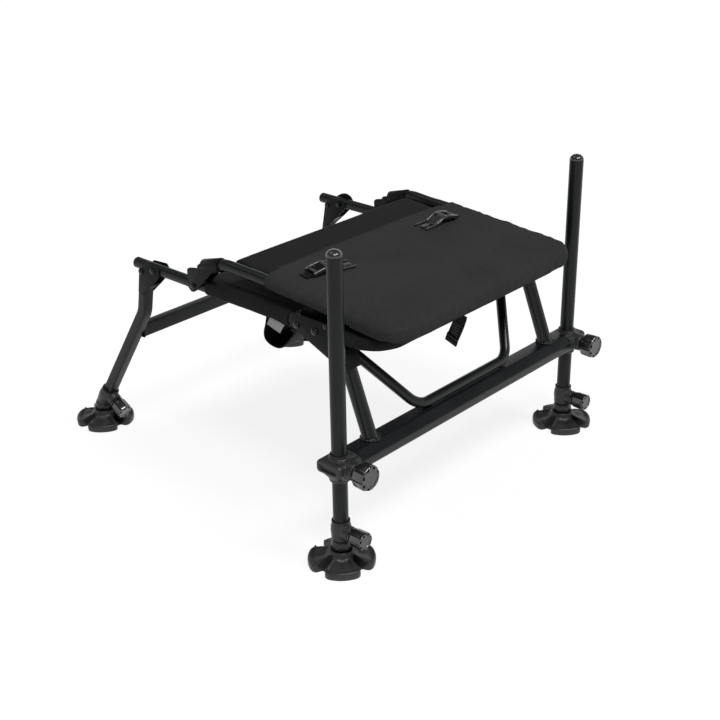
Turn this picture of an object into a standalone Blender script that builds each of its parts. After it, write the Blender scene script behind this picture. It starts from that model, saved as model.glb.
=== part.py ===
"""Fishing chair: a clamp-leg seat with a backrest and rear legs that fold.

All pieces are laid out in millimetres around the plane of the front legs (x across, y to the
rear, z up from the floor) and are placed in metres with the origin at the bottom centre.
Left is -X and right is +X.
"""
import math

import bmesh
import bpy
from mathutils import Vector

# Driving dimensions, in millimetres.
GAP = 0.3
LEG_X = 314.0
LEG_RADIUS = 12.5
LEG_TOP = 533.0
CAP_HEIGHT = 11.0
TUBE_WALL = 1.5
RAIL_X = 242.0
RAIL_Z = 366.0
RAIL_RADIUS = 10.0
RAIL_REAR = 557.5
FRONT_RUN_Y = -19.0
FRAME_BEND = 50.0
CLOTH = 2.2
SLING_SAG = 12.0
BAR_TOP = 205.0
BAR_FLAT = 13.0
BAR_SHOULDER = 27.4
BAR_SHOULDER_Z = 192.0
BAR_BOTTOM = 177.0
BAR_END = 290.6
BAR_WALL = 2.5
STRUT_RADIUS = 12.5
STRUT_LEAN = 0.39
STRUT_BASE_Y = -0.2
STRUT_TOP = 346.0
STAY_RADIUS = 9.0
STAY_CORNER_X = 121.0
STAY_BEND = 42.0
SHEET = 2.0
SHANK = 3.0
RAIL_BOLT_Y = 142.0
STAY_BOLT_Y = 101.0
BRACKET_PIN = (STAY_BOLT_Y - 23.0, RAIL_Z + 14.5)
BACK_PIVOT_Y = 395.0
SLING_NOTCH_FRONT = 37.0
SLING_NOTCH_REAR = RAIL_BOLT_Y + 24.0
SLEEVE_REAR = BACK_PIVOT_Y - 43.0
SLING_REAR = BACK_PIVOT_Y - 10.0
REAR_PIVOT_Y = 503.0
STOP_PIN = (REAR_PIVOT_Y + 33.0, RAIL_Z - 8.5)
PANEL_OVERHANG = 10.0
PANEL_HALF = RAIL_X + PANEL_OVERHANG
PANEL_FRONT = -60.0
PANEL_REAR = 225.0
PANEL_EDGE = 13.0
PANEL_CROWN = 2.0
PANEL_CORNER = 60.0
BACK_RADIUS = 10.0
STRIP_SLOT = 11.0
STRIP_HALF = PANEL_HALF - PANEL_EDGE - BACK_RADIUS - STRIP_SLOT
STRIP_LENGTH = 92.0
STRIP_REAR = PANEL_REAR + STRIP_LENGTH
STRIP_EDGE = 5.0
PANEL_Z = RAIL_Z + 30.0
PANEL_RISE = 0.078
BALL_RADIUS = 17.0
BALL_Z = 42.0
FLOOR_Z = 6.6
CUP_GAP = 1.3
COLLAR_RADIUS = 17.0
COLLAR_TOP = 45.5
FOOT_RADIUS = 55.5
PETALS = 4
CLAMP_Z = 187.0
CLAMP_FACE = 36.4
CLAMP_KNOB_RADIUS = 22.0
CLAMP_KNOB_LENGTH = 29.5
COLLAR_FACE = 22.4
FOOT_KNOB_RADIUS = 16.0
FOOT_KNOB_LENGTH = 31.0
FRONT_BOSS = 25.0
REAR_BOSS = 33.0
STUD = 4.0
REAR_LEG = (20.0, 20.0)
REAR_LEG_TOP = (RAIL_X, REAR_PIVOT_Y + 32.5, RAIL_Z - 13.5)
REAR_LEG_BEND = (RAIL_X, REAR_PIVOT_Y + 48.5, RAIL_Z - 94.0)
REAR_BALL = (RAIL_X + 17.0, REAR_PIVOT_Y + 185.5, BALL_Z)
CROSS_TUBE = (25.0, 20.0)
CROSS_TUBE_Z = 224.0
WEBBING = 25.0

SIDES = (("left", -1.0), ("right", 1.0))
ACROSS = Vector((1.0, 0.0, 0.0))
UP = Vector((0.0, 0.0, 1.0))
FRONT = Vector((0.0, -1.0, 0.0))

pieces = []


def clear_scene():
    for item in list(bpy.data.objects):
        bpy.data.objects.remove(item, do_unlink=True)


def make_material(name, colour, roughness, metallic):
    material = bpy.data.materials.new(name)
    material.use_nodes = True
    shader = material.node_tree.nodes["Principled BSDF"]
    shader.inputs["Base Color"].default_value = (colour, colour, colour, 1.0)
    shader.inputs["Roughness"].default_value = roughness
    shader.inputs["Metallic"].default_value = metallic
    return material


def draft(rings, loop=False):
    """Closed body through rings of points; a ring of one point closes to a tip."""
    shape = bmesh.new()
    rows = [[shape.verts.new(point) for point in ring] for ring in rings]
    pairs = list(zip(rows, rows[1:]))
    if loop:
        pairs.append((rows[-1], rows[0]))
    for low, high in pairs:
        count = max(len(low), len(high))
        for index in range(count):
            follow = (index + 1) % count
            corners = [low[index % len(low)], low[follow % len(low)]]
            corners += [high[follow % len(high)], high[index % len(high)]]
            shape.faces.new(list(dict.fromkeys(corners)))
    if not loop:
        for row in (rows[0], rows[-1]):
            if len(row) > 2:
                shape.faces.new(row)
    bmesh.ops.recalc_face_normals(shape, faces=shape.faces)
    mesh = bpy.data.meshes.new("draft")
    shape.to_mesh(mesh)
    shape.free()
    item = bpy.data.objects.new("draft", mesh)
    bpy.context.collection.objects.link(item)
    return item


def combine(target, tool, operation):
    """Join a draft with another one or cut it with it; the tool is used up."""
    modifier = target.modifiers.new("combine", "BOOLEAN")
    modifier.operation = operation
    modifier.solver = "EXACT"
    modifier.object = tool
    graph = bpy.context.evaluated_depsgraph_get()
    mesh = bpy.data.meshes.new_from_object(target.evaluated_get(graph))
    target.modifiers.clear()
    shape = bmesh.new()
    shape.from_mesh(mesh)
    bmesh.ops.remove_doubles(shape, verts=shape.verts, dist=0.002)
    bmesh.ops.dissolve_degenerate(shape, edges=shape.edges, dist=0.002)
    bmesh.ops.triangulate(shape, faces=shape.faces)
    shape.to_mesh(mesh)
    shape.free()
    target.data = mesh
    bpy.data.objects.remove(tool, do_unlink=True)
    return target


def join(target, *tools):
    for tool in tools:
        combine(target, tool, "UNION")
    return target


def cut(target, *tools):
    for tool in tools:
        combine(target, tool, "DIFFERENCE")
    return target


def finish(name, item, material, pivot=(0.0, 0.0, 0.0), angle=35.0):
    """Name a draft, move its origin to its pivot and shade it."""
    shape = bmesh.new()
    shape.from_mesh(item.data)
    bmesh.ops.remove_doubles(shape, verts=shape.verts, dist=0.002)
    bmesh.ops.dissolve_degenerate(shape, edges=shape.edges, dist=0.002)
    for vert in shape.verts:
        vert.co -= Vector(pivot)
    mesh = bpy.data.meshes.new(name)
    shape.to_mesh(mesh)
    shape.free()
    mesh.polygons.foreach_set("use_smooth", [True] * len(mesh.polygons))
    mesh.set_sharp_from_angle(angle=math.radians(angle))
    mesh.materials.clear()
    mesh.materials.append(material)
    item.data = mesh
    item.name = name
    item.location = pivot
    pieces.append(item)


def place_pieces():
    """Scale to metres and put the origin at the bottom centre of the whole object."""
    corners = [item.location + vert.co for item in pieces for vert in item.data.vertices]
    middle_y = (min(p.y for p in corners) + max(p.y for p in corners)) / 2
    for item in pieces:
        for vert in item.data.vertices:
            vert.co *= 0.001
        item.location = (item.location - Vector((0.0, middle_y, FLOOR_Z))) * 0.001


def circle(radius, count):
    turns = [2 * math.pi * (index + 0.5) / count for index in range(count)]
    return [(radius * math.cos(turn), radius * math.sin(turn)) for turn in turns]


def rectangle(width, height, corner):
    """Rounded rectangle as (a, b) pairs, counter-clockwise."""
    points = []
    for sign_a, sign_b, start in ((1, 1, 0), (-1, 1, 90), (-1, -1, 180), (1, -1, 270)):
        for step in (0, 90):
            turn = math.radians(start + step)
            a = sign_a * (width / 2 - corner) + corner * math.cos(turn)
            b = sign_b * (height / 2 - corner) + corner * math.sin(turn)
            points.append((a, b))
    return points


def rounded_path(points, radii, steps=5):
    """Polyline whose inner corners become arcs."""
    points = [Vector(point) for point in points]
    path = [points[0]]
    for before, corner, after, radius in zip(points, points[1:], points[2:], radii):
        back = (before - corner).normalized()
        ahead = (after - corner).normalized()
        half = back.angle(ahead) / 2
        centre = corner + (back + ahead).normalized() * (radius / math.sin(half))
        start = (corner + back * (radius / math.tan(half)) - centre).normalized()
        end = (corner + ahead * (radius / math.tan(half)) - centre).normalized()
        for step in range(steps + 1):
            path.append(centre + start.slerp(end, step / steps) * radius)
    path.append(points[-1])
    return path


def sweep(path, section, reference, bore=None):
    """Run a section along a path; the first section axis leans to the reference."""
    path = [Vector(point) for point in path]
    runs = [(after - before).normalized() for before, after in zip(path, path[1:])]
    outer = []
    inner = []
    for index, point in enumerate(path):
        run = (runs[max(index - 1, 0)] + runs[min(index, len(runs) - 1)]).normalized()
        side = (reference - run * reference.dot(run)).normalized()
        lift = run.cross(side)
        outer.append([point + side * a + lift * b for a, b in section])
        if bore:
            inner.append([point + side * a + lift * b for a, b in bore])
    return draft(outer + inner[::-1], loop=bool(bore))


def flat_share(turn, count):
    """Reach of an eight-sided outline at a turn, as a share of its corner radius."""
    corner = math.pi / count
    return math.cos(math.pi / 8) / math.cos((turn - corner) % (math.pi / 4) - math.pi / 8)


def turned(profile, origin, axis, count=20):
    """Body of revolution from (along, radius) rows; a third value of 1 makes a row eight-sided."""
    axis = Vector(axis).normalized()
    side = axis.cross(ACROSS if abs(axis.x) < 0.9 else UP).normalized()
    lift = axis.cross(side)
    rings = []
    for along, radius, *flats in profile:
        centre = Vector(origin) + axis * along
        if radius == 0:
            rings.append([centre])
            continue
        ring = []
        for index in range(count):
            turn = 2 * math.pi * (index + 0.5) / count
            reach = radius * flat_share(turn, count) if flats else radius
            ring.append(centre + (side * math.cos(turn) + lift * math.sin(turn)) * reach)
        rings.append(ring)
    return draft(rings)


def plate(outline, x_from, x_to):
    """Flat plate across x from an outline of (y, z) pairs."""
    return draft([[(x, y, z) for y, z in outline] for x in (x_from, x_to)])


def hole_across(y, z, radius, x_from, x_to):
    return turned([(x_from, radius), (x_to, radius)], (0.0, y, z), ACROSS, 8)


def bolt(side, y, z, outer, inner, shank, head=6.0, dome=3.6, nut=4.6):
    """Domed bolt across x with its nut; outer and inner are the clamped faces."""
    profile = [(outer + GAP + dome, 0.0), (outer + GAP + dome * 0.8, head * 0.55)]
    profile += [(outer + GAP + dome * 0.3, head * 0.93), (outer + GAP, head)]
    profile += [(outer + GAP, shank), (inner - GAP, shank)]
    profile += [(inner - GAP, shank + 2.4), (inner - GAP - nut, shank + 2.4)]
    profile += [(inner - GAP - nut, 0.0)]
    return turned(profile, (0.0, y, z), (side, 0.0, 0.0), 10)


def panel_middle(y):
    return PANEL_Z + PANEL_RISE * (y + 20.0)


def frame_path(reach=0.0):
    """Centre line of the seat frame; reach makes the open ends longer."""
    rear = RAIL_REAR + reach
    corners = [(-RAIL_X, rear, RAIL_Z), (-RAIL_X, FRONT_RUN_Y, RAIL_Z)]
    corners += [(RAIL_X, FRONT_RUN_Y, RAIL_Z), (RAIL_X, rear, RAIL_Z)]
    return rounded_path(corners, (FRAME_BEND, FRAME_BEND))


def build_seat_frame(paint, plastic):
    frame = sweep(frame_path(), circle(RAIL_RADIUS, 16), UP)
    bolt_places = (RAIL_BOLT_Y, STAY_BOLT_Y, BACK_PIVOT_Y, REAR_PIVOT_Y)
    for y in bolt_places:
        cut(frame, hole_across(y, RAIL_Z, SHANK + GAP, -RAIL_X - 20, RAIL_X + 20))
    notch_y, notch_z = STOP_PIN
    half = SHANK + GAP
    notch = [(notch_y - half - 1.4, RAIL_Z - 14), (notch_y + half, RAIL_Z - 14)]
    notch += [(notch_y + half, notch_z + half), (notch_y - half, notch_z + half)]
    cut(frame, plate(notch, -RAIL_X - 20, RAIL_X + 20))
    for label, side in SIDES:
        socket = [(-13.0, RAIL_RADIUS - TUBE_WALL), (5.0, RAIL_RADIUS - TUBE_WALL)]
        cut(frame, turned(socket, (side * RAIL_X, RAIL_REAR, RAIL_Z), (0, 1, 0), 16))
    finish("seat_frame", frame, paint)
    for label, side in SIDES:
        stem = RAIL_RADIUS - TUBE_WALL - GAP
        profile = [(-12.0, 0.0), (-12.0, stem), (GAP, stem), (GAP, RAIL_RADIUS)]
        profile += [(2.2, RAIL_RADIUS), (4.0, RAIL_RADIUS * 0.8), (4.6, 0.0)]
        plug = turned(profile, (side * RAIL_X, RAIL_REAR, RAIL_Z), (0, 1, 0), 16)
        finish("rail_plug_" + label, plug, plastic)


def sling_half_width(y):
    """Half width of the seat cloth: round at the front, notched at the brackets."""
    if y < SLING_NOTCH_FRONT + 1.0:
        run = FRONT_RUN_Y + FRAME_BEND - max(y, FRONT_RUN_Y + 0.5)
        return RAIL_X - FRAME_BEND + math.sqrt(FRAME_BEND ** 2 - max(run, 0.0) ** 2)
    if y < SLING_NOTCH_REAR:
        return RAIL_X - 30.0
    if y < SLEEVE_REAR + 1.0:
        return RAIL_X
    return RAIL_X - 20.0


def build_seat_sling(cloth):
    outer = RAIL_RADIUS + CLOTH
    rows = []
    places = [FRONT_RUN_Y + step for step in (0, 4, 14, 29, 44)]
    places += [SLING_NOTCH_FRONT, SLING_NOTCH_FRONT + 2, 80, 120]
    places += [SLING_NOTCH_REAR - 1, SLING_NOTCH_REAR + 1, 220, 290]
    places += [SLEEVE_REAR, SLEEVE_REAR + 2, SLING_REAR]
    for y in places:
        half = sling_half_width(y)
        top = []
        for part in (-1.0, -0.75, -0.5, -0.25, 0.0, 0.25, 0.5, 0.75, 1.0):
            x = part * half
            ends = min(1.0, (y - FRONT_RUN_Y) / 90.0)
            drop = SLING_SAG * ends * (1.0 - (x / RAIL_X) ** 2)
            top.append((x, y, RAIL_Z + outer - 0.4 - drop))
        under = [(x, y, z - SHEET) for x, y, z in reversed(top)]
        rows.append(top + under)
    sling = draft(rows)
    sleeve = circle(outer, 16)
    front = [point for point in frame_path() if point.y < FRONT_RUN_Y + FRAME_BEND + 1.0]
    shift = Vector((0.0, SLING_NOTCH_FRONT - front[0].y, 0.0))
    front = [front[0] + shift] + [p for p in front if p.y < SLING_NOTCH_FRONT - 4.0] + [front[-1] + shift]
    join(sling, sweep(front, sleeve, UP))
    for label, side in SIDES:
        run = [(side * RAIL_X, SLING_NOTCH_REAR, RAIL_Z), (side * RAIL_X, SLEEVE_REAR, RAIL_Z)]
        join(sling, sweep(run, sleeve, UP))
    cut(sling, sweep(frame_path(), circle(RAIL_RADIUS + GAP, 16), UP))
    finish("seat_sling", sling, cloth, angle=50)


def build_crossbar(paint):
    outline = [(-BAR_FLAT, BAR_TOP), (BAR_FLAT, BAR_TOP), (BAR_SHOULDER, BAR_SHOULDER_Z)]
    outline += [(BAR_SHOULDER, BAR_BOTTOM), (-BAR_SHOULDER, BAR_BOTTOM)]
    outline += [(-BAR_SHOULDER, BAR_SHOULDER_Z)]
    bar = plate(outline, -BAR_END, BAR_END)
    cut(bar, plate(bar_inside(0.0), -BAR_END - 5, BAR_END + 5))
    finish("front_crossbar", bar, paint, angle=25)


def bar_inside(clearance):
    """Bore outline of the crossbar, smaller by a clearance."""
    inset = BAR_WALL + clearance
    outline = [(-BAR_FLAT, BAR_TOP - inset), (BAR_FLAT, BAR_TOP - inset)]
    outline += [(BAR_SHOULDER - inset, BAR_SHOULDER_Z - inset * 0.4)]
    outline += [(BAR_SHOULDER - inset, BAR_BOTTOM + inset)]
    outline += [(inset - BAR_SHOULDER, BAR_BOTTOM + inset)]
    outline += [(inset - BAR_SHOULDER, BAR_SHOULDER_Z - inset * 0.4)]
    return outline


def build_struts(paint):
    for label, side in SIDES:
        rings = []
        heights = [(BAR_TOP + GAP, 3.2), (BAR_TOP + 2.2, 2.8), (BAR_TOP + 4.2, 1.2)]
        heights += [(BAR_TOP + 5.4, 0.0), (STRUT_TOP, 0.0)]
        for z, bead in heights:
            y = STRUT_BASE_Y + STRUT_LEAN * (z - BAR_TOP)
            level = circle(STRUT_RADIUS + bead, 20)
            slant = math.sqrt(1 + STRUT_LEAN ** 2)
            rings.append([(side * RAIL_X + a, y + b * slant, z) for a, b in level])
        strut = draft(rings)
        bore = []
        for z in (BAR_TOP - 2.0, STRUT_TOP + 3.0):
            y = STRUT_BASE_Y + STRUT_LEAN * (z - BAR_TOP)
            level = circle(STRUT_RADIUS - TUBE_WALL - 0.5, 16)
            bore.append([(side * RAIL_X + a, y + b * slant, z) for a, b in level])
        cut(strut, draft(bore))
        finish("front_strut_" + label, strut, paint)


def build_stay(paint):
    base_z = BAR_TOP + STAY_RADIUS + GAP
    lug_x = RAIL_X - STRUT_RADIUS - GAP - SHEET - GAP
    corners = []
    for side in (-1.0, 1.0):
        leg = [(side * (lug_x - STAY_RADIUS), 95.0, 345.0), (side * STAY_CORNER_X, 0.0, base_z)]
        corners += leg if side < 0 else leg[::-1]
    normal = Vector((0.0, -1.0, 0.72))
    path = rounded_path(corners, (STAY_BEND, STAY_BEND))
    stay = sweep(path, circle(STAY_RADIUS, 14), normal)
    for side in (-1.0, 1.0):
        lug = [(89.0, 338.0), (103.0, 336.0), (108.5, 350.0)]
        for turn in range(-10, 200, 30):
            reach = math.radians(turn)
            lug.append((STAY_BOLT_Y + 8.5 * math.cos(reach), RAIL_Z + 8.5 * math.sin(reach)))
        x_from, x_to = side * (lug_x - 5.0), side * lug_x
        tab = plate(lug, x_from, x_to)
        cut(tab, hole_across(STAY_BOLT_Y, RAIL_Z, SHANK + GAP, -RAIL_X, RAIL_X))
        join(stay, tab)
    finish("front_stay", stay, paint)


def build_front_brackets(paint, steel):
    inner = STRUT_RADIUS + GAP
    outer = inner + SHEET
    shape = [(-72.6, -46.0), (-43.0, -45.5), (44.0, -9.0), (56.0, -5.0), (57.5, 6.0)]
    shape += [(55.0, 16.0), (48.0, 19.0), (-45.6, 19.0)]
    outline = [(STAY_BOLT_Y + y, RAIL_Z + z) for y, z in shape]
    web = [(-72.6, -46.0), (-70.6, -46.0), (-57.3, -14.0), (-59.3, -14.0)]
    web = [(STAY_BOLT_Y + y, RAIL_Z + z) for y, z in web]
    for label, side in SIDES:
        middle = side * RAIL_X
        bracket = plate(outline, middle + inner, middle + outer)
        join(bracket, plate(web, middle - outer, middle + outer))
        join(bracket, plate(outline, middle - outer, middle - inner))
        reach = (middle - outer - 5, middle + outer + 5)
        for y, z in ((RAIL_BOLT_Y, RAIL_Z), (STAY_BOLT_Y, RAIL_Z), BRACKET_PIN):
            cut(bracket, hole_across(y, z, SHANK + GAP, *reach))
        finish("front_bracket_" + label, bracket, paint, angle=25)
        faces = (RAIL_X + outer, RAIL_X - outer)
        rail_bolt = bolt(side, RAIL_BOLT_Y, RAIL_Z, *faces, SHANK)
        finish("rail_bolt_" + label, rail_bolt, steel)
        lug_face = RAIL_X - outer - 5.0 - GAP
        stay_bolt = bolt(side, STAY_BOLT_Y, RAIL_Z, faces[0], lug_face, SHANK, 7.0, 5.4)
        finish("stay_bolt_" + label, stay_bolt, steel)
        pin = bolt(side, *BRACKET_PIN, *faces, SHANK, 4.4, 2.2, 2.0)
        finish("bracket_pin_" + label, pin, steel)


def build_clamps(plastic):
    wing = [(-22.0, -8.5), (22.0, -8.5), (25.5, -5.0), (25.5, 9.0), (21.0, 13.2), (-21.0, 13.2)]
    wing += [(-25.5, 9.0), (-25.5, -5.0)]
    wing = [(y, CLAMP_Z + z) for y, z in wing]
    slim = [(y * 0.93, CLAMP_Z + (z - CLAMP_Z) * 0.85) for y, z in wing]
    block = [(-BAR_FLAT, BAR_TOP - 0.6), (BAR_FLAT, BAR_TOP - 0.6), (BAR_SHOULDER + 1.0, BAR_SHOULDER_Z)]
    block += [(BAR_SHOULDER + 1.0, BAR_BOTTOM - 1.0), (-BAR_SHOULDER - 1.0, BAR_BOTTOM - 1.0)]
    block += [(-BAR_SHOULDER - 1.0, BAR_SHOULDER_Z)]
    barrel = [(-27.0, 14.6), (-24.5, 16.8), (15.0, 17.2), (16.6, 16.0), (18.0, 15.4), (20.5, 15.4)]
    boss = [(6.0, 16.6), (20.0, 16.0), (35.0, 14.6), (CLAMP_FACE, 13.6)]
    for label, side in SIDES:
        centre = (side * LEG_X, 0.0, CLAMP_Z)
        faces = ((BAR_END + 0.4, wing), (LEG_X + 23.5, wing), (LEG_X + 26.6, slim))
        clamp = draft([[(side * x, y, z) for y, z in shape] for x, shape in faces])
        join(clamp, plate(block, side * (BAR_END + 0.7), side * (LEG_X - 6.0)))
        join(clamp, turned(barrel, centre, UP, 24))
        join(clamp, turned(boss, centre, FRONT, 24))
        join(clamp, plate(bar_inside(GAP), side * (BAR_END - 28.0), side * (BAR_END + 3.0)))
        pocket = [(-16.0, -3.0), (19.0, -3.0), (19.0, 6.0), (-16.0, 6.0)]
        pocket = [(y, CLAMP_Z + z) for y, z in pocket]
        cut(clamp, plate(pocket, side * (LEG_X + 24.2), side * (LEG_X + 30.0)))
        bore = LEG_RADIUS + GAP
        cut(clamp, turned([(5.0, STUD + GAP), (45.0, STUD + GAP)], centre, FRONT, 12))
        cut(clamp, turned([(-37.0, bore), (33.0, bore)], centre, UP))
        finish("leg_clamp_" + label, clamp, plastic, angle=30)
        knob = hand_knob(CLAMP_KNOB_RADIUS, CLAMP_FACE + GAP, CLAMP_KNOB_LENGTH, LEG_RADIUS, centre, FRONT)
        finish("clamp_knob_" + label, knob, plastic, (side * LEG_X, -54.0, CLAMP_Z), 30)


def hand_knob(radius, start, length, leg_face, origin, axis):
    """Hand knob with eight flat sides and a stud that reaches the leg."""
    end = start + length
    profile = [(leg_face + 0.5, 0.0), (leg_face + 0.5, STUD), (start, STUD)]
    profile += [(start, radius * 0.66), (start + 2.2, radius * 0.72), (start + 3.4, radius * 0.84)]
    profile += [(start + 5.4, radius * 0.93, 1), (end - 5.5, radius, 1), (end - 2.6, radius * 0.97, 1)]
    profile += [(end, radius * 0.84), (end, radius * 0.7), (end - 1.2, radius * 0.62), (end - 1.2, 0.0)]
    return turned(profile, origin, axis, 16)


def build_front_legs(paint, plastic):
    bore = LEG_RADIUS - TUBE_WALL
    for label, side in SIDES:
        pivot = (side * LEG_X, 0.0, BALL_Z)
        foot = BALL_Z + 16.0 + GAP
        run = [(side * LEG_X, 0.0, foot), (side * LEG_X, 0.0, LEG_TOP)]
        leg = sweep(run, circle(LEG_RADIUS, 24), ACROSS, circle(bore, 24))
        finish("front_leg_" + label, leg, paint, pivot)
        profile = [(LEG_TOP - 15.0, 0.0), (LEG_TOP - 15.0, bore - GAP), (LEG_TOP + GAP, bore - GAP)]
        profile += [(LEG_TOP + GAP, LEG_RADIUS)]
        for turn in (15, 40, 65):
            rise = 1.5 + (CAP_HEIGHT - 1.5) * math.sin(math.radians(turn))
            profile.append((LEG_TOP + rise, LEG_RADIUS * math.cos(math.radians(turn))))
        profile.append((LEG_TOP + CAP_HEIGHT, 0.0))
        cap = turned(profile, (side * LEG_X, 0.0, 0.0), UP, 24)
        finish("leg_cap_" + label, cap, plastic, pivot)


def foot_base(centre):
    """Petal base with a ball cup; the ball centre is the pivot."""
    x, y, z = centre
    cup = BALL_RADIUS + CUP_GAP
    round_rows = [(0.01, z - cup)]
    for turn in (-65, -36):
        reach = math.radians(turn)
        round_rows.append((cup * math.cos(reach), z + cup * math.sin(reach)))
    rows = [(radius, height, radius, height) for radius, height in round_rows[1:]]
    rows += [(20.4, 31.0, 20.4, 31.0), (22.6, 29.6, 22.0, 21.0), (26.0, 28.4, 24.6, 13.4)]
    rows += [(36.0, 25.6, 30.0, 12.6), (46.0, 22.8, 35.0, 12.0)]
    rows += [(FOOT_RADIUS - 2.6, 20.0, 38.4, 11.4), (FOOT_RADIUS, 16.4, 39.8, 10.0)]
    rows += [(FOOT_RADIUS - 0.6, FLOOR_Z, 39.8, FLOOR_Z)]
    turns = []
    for petal in range(PETALS):
        middle = 360.0 * (petal + 0.5) / PETALS
        turns += [(middle + step, abs(step) < 34) for step in (-33, -18, 0, 18, 33, 37, 45, 53)]
    rings = [[(x, y, z - cup)]]
    for petal_reach, petal_top, notch_reach, notch_top in rows:
        ring = []
        for turn, on_petal in turns:
            reach, height = (petal_reach, petal_top) if on_petal else (notch_reach, notch_top)
            angle = math.radians(turn)
            ring.append((x + reach * math.cos(angle), y + reach * math.sin(angle), height))
        rings.append(ring)
    return draft(rings)


def foot_collar(centre, axis, forward, bore_outline, boss_at, extra=0.0):
    """Clamp collar with the ball under it, around the end of a leg."""
    axis = Vector(axis).normalized()
    forward = Vector(forward)
    profile = [(-BALL_RADIUS, 0.0)]
    for turn in (-58, -28, 0, 36):
        reach = math.radians(turn)
        profile.append((BALL_RADIUS * math.sin(reach), BALL_RADIUS * math.cos(reach)))
    profile += [(14.0, 14.4 + extra), (20.0, COLLAR_RADIUS - 1.0 + extra), (28.0, COLLAR_RADIUS + extra)]
    profile += [(36.0, COLLAR_RADIUS - 0.8 + extra), (COLLAR_TOP - 3.5, 14.5 + extra)]
    profile += [(COLLAR_TOP - 2.5, 15.1 + extra), (COLLAR_TOP, 15.1 + extra), (COLLAR_TOP, 0.0)]
    collar = turned(profile, centre, axis, 16)
    seat = Vector(centre) + axis * boss_at
    boss = [(8.0, 13.6), (COLLAR_FACE - 1.5, 13.6), (COLLAR_FACE, 12.4)]
    join(collar, turned(boss, seat, forward, 14))
    low = Vector(centre) + axis * 16.0
    top = Vector(centre) + axis * (COLLAR_TOP + 4.0)
    cut(collar, turned([(2.0, STUD + GAP), (32.0, STUD + GAP)], seat, forward, 12))
    cut(collar, sweep([low, top], bore_outline, ACROSS))
    return collar


def build_feet(plastic):
    leg_hole = circle(LEG_RADIUS + GAP, 20)
    slot = rectangle(REAR_LEG[0] + 2 * GAP, REAR_LEG[1] + 2 * GAP, 2.0)
    start = COLLAR_FACE + GAP
    for label, side in SIDES:
        front = (side * LEG_X, 0.0, BALL_Z)
        collar = foot_collar(front, UP, FRONT, leg_hole, FRONT_BOSS)
        finish("foot_collar_front_" + label, collar, plastic, front)
        finish("foot_base_front_" + label, foot_base(front), plastic, front, 30)
        seat = Vector(front) + UP * FRONT_BOSS
        knob = hand_knob(FOOT_KNOB_RADIUS, start, FOOT_KNOB_LENGTH, LEG_RADIUS, seat, FRONT)
        finish("foot_knob_front_" + label, knob, plastic, seat + FRONT * 40.0, 30)
        rear = (side * REAR_BALL[0], REAR_BALL[1], REAR_BALL[2])
        bend = Vector((side * REAR_LEG_BEND[0], REAR_LEG_BEND[1], REAR_LEG_BEND[2]))
        axis = (bend - Vector(rear)).normalized()
        forward = ACROSS.cross(axis).normalized()
        collar = foot_collar(rear, axis, forward, slot, REAR_BOSS, 1.2)
        finish("foot_collar_rear_" + label, collar, plastic, (0.0, REAR_PIVOT_Y, RAIL_Z))
        finish("foot_base_rear_" + label, foot_base(rear), plastic, rear, 30)
        seat = Vector(rear) + axis * REAR_BOSS
        knob = hand_knob(FOOT_KNOB_RADIUS, start, FOOT_KNOB_LENGTH, REAR_LEG[1] / 2, seat, forward)
        finish("foot_knob_rear_" + label, knob, plastic, seat + forward * 40.0, 30)


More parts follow.
